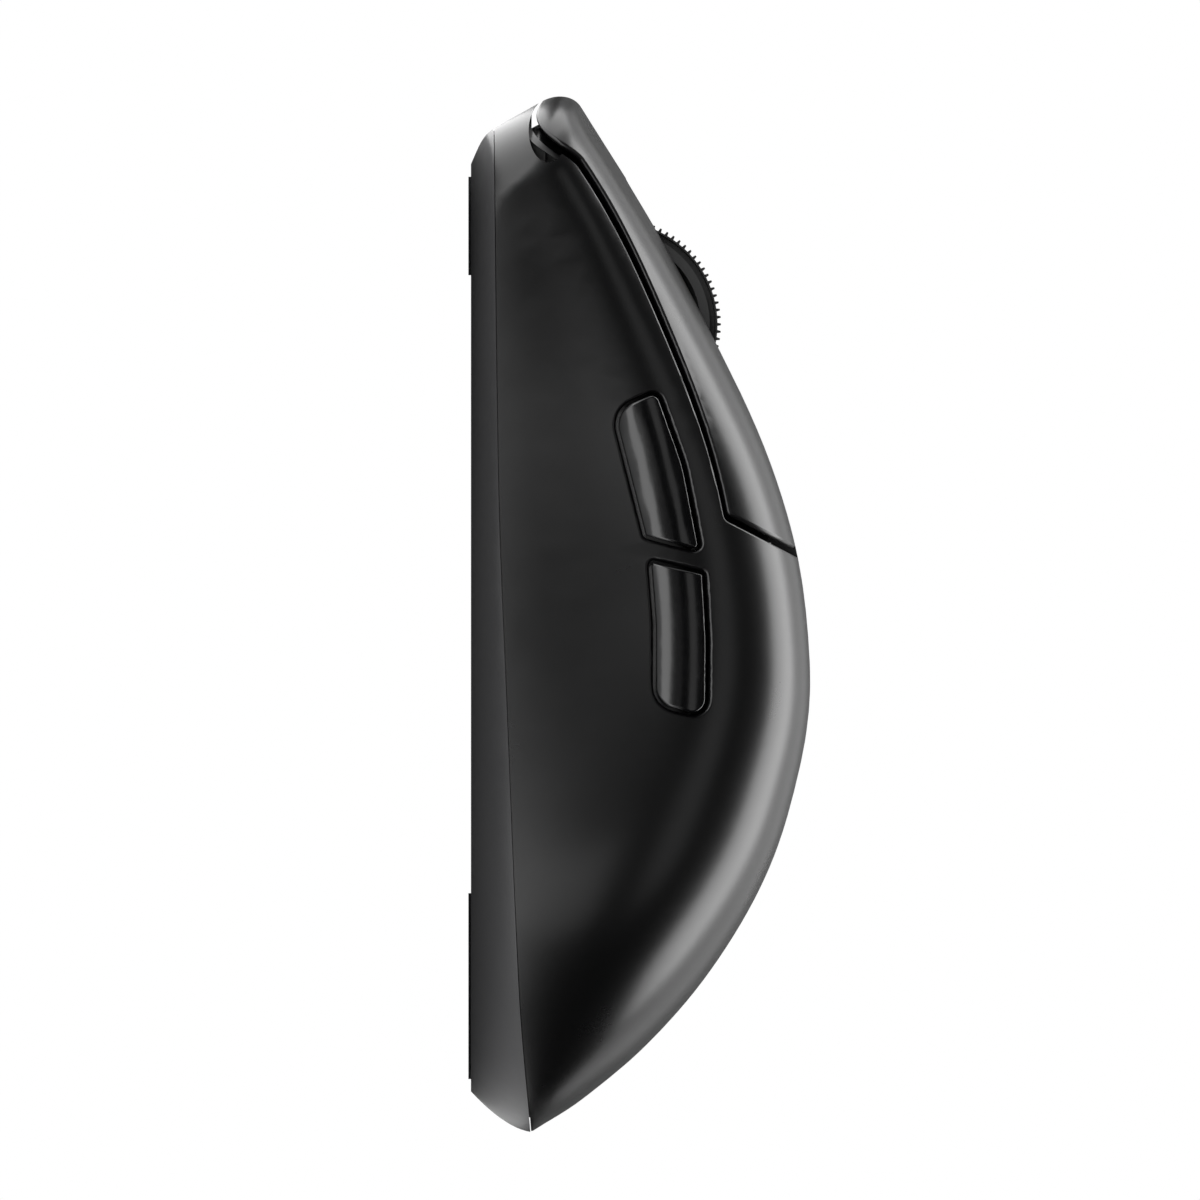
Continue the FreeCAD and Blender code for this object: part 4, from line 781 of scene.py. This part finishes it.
@dataclass
class SubAssembly:
    """A group of pieces that are made and fitted together.

    Attributes:
        body: the CAD body that its pieces ride on.
    """

    body: str = "mouse_body"

    def finish(self, obj: bpy.types.Object, finish: Finish, body: str = "") -> bpy.types.Object:
        """Gives a piece its finish and body.

        Args:
            obj: the piece, in place.
            finish: its finish.
            body: the CAD body, or nothing for the sub-assembly's own.

        Returns:
            The piece.
        """
        obj.data.materials.clear()
        obj.data.materials.append(finish.material())
        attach(obj, body or self.body)
        LOG.info("%s: %d faces, %s on %s", obj.name, len(obj.data.polygons), finish.name, body or self.body)
        return obj

    def dress(self, node: str, finish: Finish, body: str = "") -> bpy.types.Object:
        """Shows a CAD node as a smooth copy with a finish.

        Args:
            node: name of the CAD node.
            finish: its finish.
            body: the CAD body, or nothing for the sub-assembly's own.

        Returns:
            The piece that stands for the node.
        """
        obj = self.finish(smooth_copy(node), finish, body)
        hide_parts(node)
        return obj

    def block(self, name: str, middle: Point, size: Point, edge: float) -> bpy.types.Object:
        """A small moulded block with round edges, modelled in place.

        Args:
            name: plain name of the block.
            middle: its middle.
            size: its size along X, Y and Z.
            edge: radius of its edges.

        Returns:
            The block, without a finish.
        """
        bpy.ops.object.select_all(action="DESELECT")
        bpy.ops.mesh.primitive_cube_add(size=1.0, location=middle)
        obj = bpy.context.object
        obj.name = name
        obj.scale = size
        bpy.ops.object.transform_apply(location=True, rotation=True, scale=True)
        bevel = obj.modifiers.new("round_edge", "BEVEL")
        bevel.width = edge
        bevel.segments = 2
        bpy.ops.object.modifier_apply(modifier="round_edge")
        return obj

    def copy(self, first: bpy.types.Object, turn: Matrix) -> bpy.types.Object:
        """A copy of a piece with its own mesh, moved by a matrix.

        Args:
            first: the piece to copy.
            turn: where the copy goes from there.

        Returns:
            The copy.
        """
        obj = first.copy()
        obj.data = first.data.copy()
        obj.data.transform(turn)
        bpy.context.scene.collection.objects.link(obj)
        return obj

    def gather(self, name: str, parts: list[bpy.types.Object]) -> bpy.types.Object:
        """Joins small parts into one piece.

        Args:
            name: name of the piece.
            parts: the parts, the first of which becomes the piece.

        Returns:
            The piece.
        """
        pick(parts[0])
        for part in parts:
            part.select_set(True)
        bpy.ops.object.join()
        obj = bpy.context.object
        obj.name = name
        obj.data.name = name
        bpy.ops.object.shade_smooth_by_angle(angle=SHARP_EDGE)
        return obj


@dataclass
class Housing(SubAssembly):
    """Top shell, base shell and the screws that hold them."""

    def build(self) -> None:
        """Dresses the mouldings and their screws."""
        self.dress("top_shell", SATIN)
        # The base shell's grey is painted light on the black satin, for the light its lower band catches.
        self.dress("base_shell", BASE_PAINTED_LIGHT)
        self.dress("shell_screws", STEEL)
        self.dress("plate_screws", STEEL)


@dataclass
class ClickPlates(SubAssembly):
    """The two main buttons."""

    def build(self) -> None:
        """Dresses both click plates."""
        self.dress("left_click_plate", SATIN, "left_click")
        self.dress("right_click_plate", SATIN, "right_click")


@dataclass
class SideButtons(SubAssembly):
    """The forward and back buttons with their switches."""

    def build(self) -> None:
        """Dresses the caps, switches and board of the left side."""
        for name in ("forward", "back"):
            self.dress(f"{name}_button", GLOSS, f"{name}_key")
            self.dress(f"{name}_switch", CASE)
            self.dress(f"{name}_plunger", WHITE, f"{name}_switch_key")
        self.dress("side_board", BOARD)
        self.dress("side_board_screws", STEEL)
        self.dress("ribbon", FILM)
        self.dress("ribbon_plug", CASE)


@dataclass
class ScrollWheel(SubAssembly):
    """The wheel, its tyre, its axle and the sprung carriage."""

    body: str = "scroll_wheel"

    def build(self) -> None:
        """Dresses the turning parts and the carriage that carries them."""
        self.dress("wheel_hub", WHEEL)
        self.dress("wheel_tyre", TYRE)
        self.dress("wheel_axle", STEEL)
        self.dress("wheel_carriage", CARRIER, "wheel_frame")
        self.dress("wheel_lamp", RESIN, "mouse_body")
        self.dress("wheel_receiver", CASE, "mouse_body")


@dataclass
class Underside(SubAssembly):
    """What faces the desk: glide feet, sensor window, power slider and the small key."""

    def build(self) -> None:
        """Dresses the pieces of the underside."""
        self.dress("front_skate", GLIDE)
        self.dress("rear_skate", GLIDE)
        self.dress("sensor_lens", LENS)
        self.dress("power_slider", WHEEL, "slider")
        self.dress("dpi_button", WHEEL, "dpi_key")


@dataclass
class Electronics(SubAssembly):
    """Main board, click switches, sensor, chips and the charging socket.

    Attributes:
        pad: size of one contact in the socket.
        pad_edge: radius of its edges.
        pad_lift: height of its middle over the tongue's face.
        pad_pitch: distance between two contacts.
        pad_count: contacts on each side of the tongue.
        tongue: thickness of the socket's tongue.
        tongue_end: how far the contacts stop behind the socket's mouth.
        leg_width: width of a chip's leg.
        leg_sheet: thickness of the strip that it is bent from.
        leg_root: length of its level part at the chip.
        leg_slope: length along X of its bent part.
        leg_toe: length of the part that lies on the board.
        leg_rise: height of the root over the board.
        leg_pitch: distance between two legs.
        least_chip: length from which a chip has legs.
        part: outer size of a small ceramic part on the board.
        ceramic: size of its body between and inside the ends.
        ceramic_edge: radius of the body's edges.
        end_length: length of one tinned end.
        end_place: distance from the part's middle to the middle of an end.
        end_edge: radius of an end's edges.
        part_rows: middle of each row of ceramic parts, and how many are in it.
        part_pitch: distance between two ceramic parts in a row.
    """

    pad: Point = (0.25 * MM, 3.2 * MM, 0.05 * MM)
    pad_edge: float = 0.02 * MM
    pad_lift: float = 0.0125 * MM
    pad_pitch: float = 0.5 * MM
    pad_count: int = 12
    tongue: float = 0.7 * MM
    tongue_end: float = 1.0 * MM
    leg_width: float = 0.28 * MM
    leg_sheet: float = 0.12 * MM
    leg_root: float = 0.24 * MM
    leg_slope: float = 0.16 * MM
    leg_toe: float = 0.4 * MM
    leg_rise: float = 0.45 * MM
    leg_pitch: float = 0.65 * MM
    least_chip: float = 2.5 * MM
    part: Point = (0.5 * MM, 1.0 * MM, 0.45 * MM)
    ceramic: Point = (0.48 * MM, 0.8 * MM, 0.432 * MM)
    ceramic_edge: float = 0.04 * MM
    end_length: float = 0.22 * MM
    end_place: float = 0.41 * MM
    end_edge: float = 0.05 * MM
    part_rows: tuple[tuple[float, float, int], ...] = (
        (11.5 * MM, 14.6 * MM, 5),
        (-10.0 * MM, 16.0 * MM, 4),
        (-11.0 * MM, 1.5 * MM, 5),
        (11.5 * MM, 2.2 * MM, 5),
    )
    part_pitch: float = 1.5 * MM

    def contacts(self) -> None:
        """Gilt contacts on both sides of the socket's tongue."""
        low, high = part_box("charging_socket")
        level = (low[2] + high[2]) / 2
        start = -self.pad_pitch * (self.pad_count - 1) / 2
        along = high[1] - self.tongue_end - self.pad[1] / 2
        rows = []
        for side in (-1, 1):
            place = (start, along, level + side * (self.tongue / 2 + self.pad_lift))
            pad = self.block("socket_contact", place, self.pad, self.pad_edge)
            rows.append(pad)
            for k in range(1, self.pad_count):
                rows.append(self.copy(pad, Matrix.Translation((k * self.pad_pitch, 0, 0))))
        self.finish(self.gather("socket_contacts", rows), GILT)

    def chip_leg(self, side_x: float, y: float, foot: float) -> bpy.types.Object:
        """One bent leg that runs from a chip's side down to the board, drawn out of a narrow strip.

        Args:
            side_x: the chip's side that it leaves, towards +X.
            y: its middle along Y.
            foot: height of the board's top.

        Returns:
            The leg.
        """
        root = (side_x + self.leg_root / 2, y, foot + self.leg_rise)
        bpy.ops.object.select_all(action="DESELECT")
        bpy.ops.mesh.primitive_plane_add(size=1.0, location=root)
        leg = bpy.context.object
        leg.scale = (self.leg_root, self.leg_width, 1.0)
        bpy.ops.object.transform_apply(location=True, rotation=True, scale=True)
        self.draw_out(leg, (self.leg_slope, 0.0, self.leg_sheet - self.leg_rise))
        self.draw_out(leg, (self.leg_toe, 0.0, 0.0))
        wall = leg.modifiers.new("sheet", "SOLIDIFY")
        wall.thickness = self.leg_sheet
        wall.offset = 0.0
        bpy.ops.object.modifier_apply(modifier="sheet")
        return leg

    def draw_out(self, leg: bpy.types.Object, step: Point) -> None:
        """Extrudes the free end of a strip.

        Args:
            leg: the strip.
            step: how far its end is drawn.
        """
        mesh = leg.data
        far = max(vertex.co.x for vertex in mesh.vertices)
        ends = [far - vertex.co.x < MERGE_REACH for vertex in mesh.vertices]
        bpy.ops.object.mode_set(mode="EDIT")
        bpy.ops.mesh.select_all(action="DESELECT")
        bpy.ops.object.mode_set(mode="OBJECT")
        for vertex, end in zip(mesh.vertices, ends):
            vertex.select = end
        for edge in mesh.edges:
            edge.select = all(ends[k] for k in edge.vertices)
        bpy.ops.object.mode_set(mode="EDIT")
        bpy.ops.mesh.select_mode(type="EDGE")
        bpy.ops.mesh.extrude_region_move(TRANSFORM_OT_translate={"value": step})
        bpy.ops.object.mode_set(mode="OBJECT")

    def chip_boxes(self) -> list[tuple[Vector, Vector]]:
        """Finds the chips on the board that are large enough for legs.

        Returns:
            The lowest and highest corner of each.
        """
        mesh = bpy.data.objects["board_chips_form"].data
        cloud = np.array([vertex.co for vertex in mesh.vertices])
        links = np.array([edge.vertices for edge in mesh.edges])
        group = np.arange(len(cloud))
        before = None
        while not np.array_equal(group, before):
            before = group.copy()
            least = np.minimum(group[links[:, 0]], group[links[:, 1]])
            np.minimum.at(group, links[:, 0], least)
            np.minimum.at(group, links[:, 1], least)
        boxes = []
        for key in sorted(set(group.tolist())):
            points = cloud[group == key]
            low, high = Vector(points.min(axis=0)), Vector(points.max(axis=0))
            if (high - low).y > self.least_chip:
                boxes.append((low, high))
        return boxes

    def legs(self) -> None:
        """Tinned legs along both sides of each chip."""
        legs = []
        for low, high in self.chip_boxes():
            count = int((high.y - low.y - self.leg_pitch) / self.leg_pitch)
            start = (low.y + high.y) / 2 - self.leg_pitch * (count - 1) / 2
            first = self.chip_leg(high.x, start, low.z)
            there = Matrix.Translation(((low.x + high.x) / 2, start, 0.0))
            across = there @ Matrix.Rotation(math.pi, 4, "Z") @ there.inverted()
            for turn in (Matrix.Identity(4), across):
                for k in range(count):
                    legs.append(self.copy(first, Matrix.Translation((0, k * self.leg_pitch, 0)) @ turn))
            bpy.data.objects.remove(first)
        self.finish(self.gather("chip_legs", legs), TIN)

    def ceramics(self) -> None:
        """Rows of small ceramic parts with tinned ends on the board."""
        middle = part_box("main_board")[1][2] + self.part[2] / 2
        end = (self.part[0], self.end_length, self.part[2])
        bodies, ends = [], []
        for row_x, row_y, count in self.part_rows:
            for k in range(count):
                x = row_x + (k - (count - 1) / 2) * self.part_pitch
                place = (x, row_y, middle)
                bodies.append(self.block("ceramic_part", place, self.ceramic, self.ceramic_edge))
                for side in (-1, 1):
                    place = (x, row_y + side * self.end_place, middle)
                    ends.append(self.block("part_end", place, end, self.end_edge))
        self.finish(self.gather("board_ceramics", bodies), CERAMIC)
        self.finish(self.gather("ceramic_ends", ends), TIN)

    def build(self) -> None:
        """Dresses the board and what is soldered to it."""
        self.dress("main_board", BOARD)
        self.dress("board_screws", STEEL)
        self.dress("board_chips", CASE)
        self.dress("motion_sensor", CASE)
        self.dress("charging_socket", SOCKET)
        self.dress("power_switch", CASE)
        self.dress("dpi_switch", CASE)
        for name in ("left_click", "right_click", "middle"):
            self.dress(f"{name}_switch", CASE)
        for name in ("left", "right"):
            self.dress(f"{name}_click_plunger", WHITE, f"{name}_switch_key")
        self.dress("middle_plunger", WHITE, "middle_switch_key")
        self.contacts()
        self.legs()
        self.ceramics()


@dataclass
class PowerCell(SubAssembly):
    """The flat cell with its pad, leads and plug."""

    def build(self) -> None:
        """Dresses the cell and its leads."""
        self.dress("battery", FOIL)
        self.dress("battery_pad", FOAM)
        self.dress("battery_plug", WHITE)
        self.dress("battery_leads", SLEEVE)


@dataclass(frozen=True)
class Panel:
    """A flat rectangle of the studio, as a lamp or a dark card.

    Attributes:
        name: plain name.
        place: middle of the panel in metres.
        aim: the point it faces.
        width: size across, along world Y where it can be.
        height: size up.
        level: radiance of a lamp, or zero for a dark card.
    """

    name: str
    place: Point
    aim: Point
    width: float
    height: float
    level: float = 0.0

    def pose(self) -> Matrix:
        """Works out where the panel stands.

        Returns:
            The turn and place that make it face its aim with its width along Y.
        """
        away = (Vector(self.place) - Vector(self.aim)).normalized()
        along = Vector((0, 1, 0)) if abs(away.y) < 0.9 else Vector((1, 0, 0))
        up = away.cross(along).normalized()
        along = up.cross(away).normalized()
        turn = Matrix((along, up, away)).transposed()
        return Matrix.Translation(self.place) @ turn.to_4x4()

    def lamp(self) -> bpy.types.Object:
        """Makes the panel as an area lamp.

        Returns:
            The lamp.
        """
        data = bpy.data.lights.new(self.name, "AREA")
        data.shape = "RECTANGLE"
        data.size = self.width
        data.size_y = self.height
        data.energy = self.level * math.pi * self.width * self.height
        obj = bpy.data.objects.new(self.name, data)
        bpy.context.scene.collection.objects.link(obj)
        obj.matrix_world = self.pose()
        obj.visible_camera = False
        return obj

    def card(self, material: bpy.types.Material) -> bpy.types.Object:
        """Makes the panel as a card that only reflections see.

        Args:
            material: its dark material.

        Returns:
            The card.
        """
        bpy.ops.object.select_all(action="DESELECT")
        bpy.ops.mesh.primitive_plane_add(size=1.0)
        obj = bpy.context.object
        obj.name = self.name
        obj.data.transform(self.pose() @ Matrix.Diagonal((self.width, self.height, 1.0, 1.0)))
        obj.matrix_world = Matrix.Identity(4)
        obj.data.materials.append(material)
        obj.visible_camera = False
        obj.visible_diffuse = False
        obj.visible_shadow = False
        return obj


@dataclass
class Studio:
    """Floor, lamps, dark cards and the camera.

    Attributes:
        view_width: metres that the photograph's frame spans.
        middle: what the camera centres on, along Y and Z.
        stand_off: distance of the camera from the mouse's middle plane.
        core: the point that lamps and cards face.
        desk: height of the two panels that lie on the floor and shine up.
        overhead: height of the point that these two face.
        floor_reach: radius of the floor.
        floor_drop: how far the floor lies under the feet, so that the two faces stay apart.
        floor_mottle: size of the slow changes over the floor.
        card_mottle: size of the slow changes over a card.
    """

    view_width: float = 140.4 * MM
    middle: tuple[float, float] = (1.7 * MM, 15.4 * MM)
    stand_off: float = 0.5
    core: Point = (0.0, 0.0, 20.0 * MM)
    desk: float = 0.12 * MM
    overhead: float = 1.0
    floor_reach: float = 3.0
    floor_drop: float = 0.01 * MM
    floor_mottle: float = 0.3
    card_mottle: float = 0.2

    def floor(self) -> None:
        """A large pale floor that the mouse rests on."""
        bpy.ops.object.select_all(action="DESELECT")
        bpy.ops.mesh.primitive_circle_add(vertices=96, radius=self.floor_reach, fill_type="NGON")
        bpy.context.object.location.z = -self.floor_drop
        bpy.ops.object.transform_apply(location=True)
        obj = bpy.context.object
        obj.name = "studio_floor"
        nodes = Nodes("pale_floor")
        mottle = nodes.span(nodes.noise(self.floor_mottle), Band.MIDDLE)
        tint = nodes.blend(mottle, rgba((0.80, 0.80, 0.80)), rgba((0.84, 0.84, 0.84)))
        nodes.feed(nodes.shader.inputs["Base Color"], tint)
        nodes.shader.inputs["Roughness"].default_value = 0.9
        nodes.shader.inputs["Specular IOR Level"].default_value = 0.1
        obj.data.materials.append(nodes.material)

    def world(self) -> None:
        """White behind the mouse and in its reflections, and a soft grey fill."""
        world = bpy.data.worlds.new("studio_air")
        bpy.context.scene.world = world
        world.use_nodes = True
        tree = world.node_tree
        fill = tree.nodes["Background"]
        fill.inputs["Color"].default_value = (0.5, 0.5, 0.5, 1.0)
        white = tree.nodes.new("ShaderNodeBackground")
        white.inputs["Color"].default_value = (1.0, 1.0, 1.0, 1.0)
        rays = tree.nodes.new("ShaderNodeLightPath")
        seen = rays.outputs["Is Camera Ray"]
        for name in ("Is Glossy Ray", "Is Transmission Ray"):
            either = tree.nodes.new("ShaderNodeMath")
            either.operation = "MAXIMUM"
            tree.links.new(seen, either.inputs[0])
            tree.links.new(rays.outputs[name], either.inputs[1])
            seen = either.outputs[0]
        mix = tree.nodes.new("ShaderNodeMixShader")
        tree.links.new(seen, mix.inputs[0])
        tree.links.new(fill.outputs[0], mix.inputs[1])
        tree.links.new(white.outputs[0], mix.inputs[2])
        tree.links.new(mix.outputs[0], tree.nodes["World Output"].inputs[0])

    def lights(self) -> None:
        """Soft lamps round the mouse, and two panels on the floor that shine on its lower edges."""
        side = (-0.145, 0.02)
        front = (0.0, 0.158)
        for panel in (
            Panel("softbox_above", (0.27, 0.0, 0.59), self.core, width=1.2, height=0.36, level=3.6),
            Panel("softbox_behind", (0.54, 0.0, 0.34), self.core, width=1.2, height=0.26, level=0.6),
            Panel("panel_side_low", (-0.80, 0.24, 0.15), self.core, width=0.9, height=0.34, level=0.13),
            Panel("panel_side_high", (-0.45, 0.0, 0.52), self.core, width=0.62, height=0.20, level=0.6),
            Panel("panel_rear_side", (-0.76, -0.17, 0.12), self.core, width=0.34, height=0.34, level=0.9),
            Panel("softbox_front", (0.28, 0.55, 0.14), self.core, width=0.5, height=0.34, level=1.7),
            Panel("glow_side", (*side, self.desk), (*side, self.overhead), width=0.24, height=0.17,
                  level=2.1),
            Panel("glow_front", (*front, self.desk), (*front, self.overhead), width=0.2, height=0.30,
                  level=1.8),
        ):
            panel.lamp()

    def cards(self) -> None:
        """Dark cards between the lamps, a grey one behind the mouse and a black strip that paints the
        contact shade into the base's reflections, all seen by reflections alone.
        """
        black = self.card_finish("dark_card", 0.006)
        grey = self.card_finish("grey_card", 0.22)
        for panel, finish in (
            (Panel("card_above", (-0.28, 0.0, 1.0), self.core, width=3.0, height=0.9), black),
            (Panel("card_rear", (-0.2, -1.1, 0.5), self.core, width=2.4, height=1.4), black),
            (Panel("card_side", (-1.3, 0.0, 0.5), self.core, width=3.4, height=1.7), black),
            (Panel("card_far", (1.2, -0.2, 0.42), self.core, width=3.0, height=1.1), grey),
            # Painted shade: a black strip just over the floor along the base's lower edge darkens its
            # reflections where the contact shade falls.
            (Panel("contact_shade_card", (0.05, 0.0, 0.006), (-1.0, 0.0, 0.006), width=0.3, height=0.0118), black),
        ):
            panel.card(finish)

    def card_finish(self, name: str, shade: float) -> bpy.types.Material:
        """Matt cloth of a card.

        Args:
            name: the material's name.
            shade: how pale the cloth is.

        Returns:
            The material.
        """
        nodes = Nodes(name)
        weave = nodes.span(nodes.noise(self.card_mottle), Band.MIDDLE)
        pale = shade * 1.3
        tint = nodes.blend(weave, rgba((shade, shade, shade)), rgba((pale, pale, pale)))
        nodes.feed(nodes.shader.inputs["Base Color"], tint)
        nodes.shader.inputs["Roughness"].default_value = 0.95
        nodes.shader.inputs["Specular IOR Level"].default_value = 0.0
        return nodes.material

    def camera(self) -> None:
        """A level camera that looks at the left side with the nose up, as the photograph does."""
        data = bpy.data.cameras.new("side_camera")
        data.type = "ORTHO"
        data.ortho_scale = self.view_width
        data.clip_start = 0.01
        obj = bpy.data.objects.new("side_camera", data)
        bpy.context.scene.collection.objects.link(obj)
        turn = Matrix(((0, 0, 1), (0, 1, 0), (-1, 0, 0))).transposed()
        obj.matrix_world = Matrix.Translation((-self.stand_off, *self.middle)) @ turn.to_4x4()
        bpy.context.scene.camera = obj

    def build(self) -> None:
        """Sets up the studio."""
        bpy.context.scene.view_settings.view_transform = "Standard"
        self.floor()
        self.world()
        self.lights()
        self.cards()
        self.camera()


def main() -> None:
    logging.basicConfig(level=logging.INFO, format="%(message)s")
    kinds = (Housing, ClickPlates, SideButtons, ScrollWheel, Underside, Electronics, PowerCell, Studio)
    for kind in kinds:
        LOG.info("building %s", kind.__name__)
        kind().build()


if __name__ == "__main__":
    main()
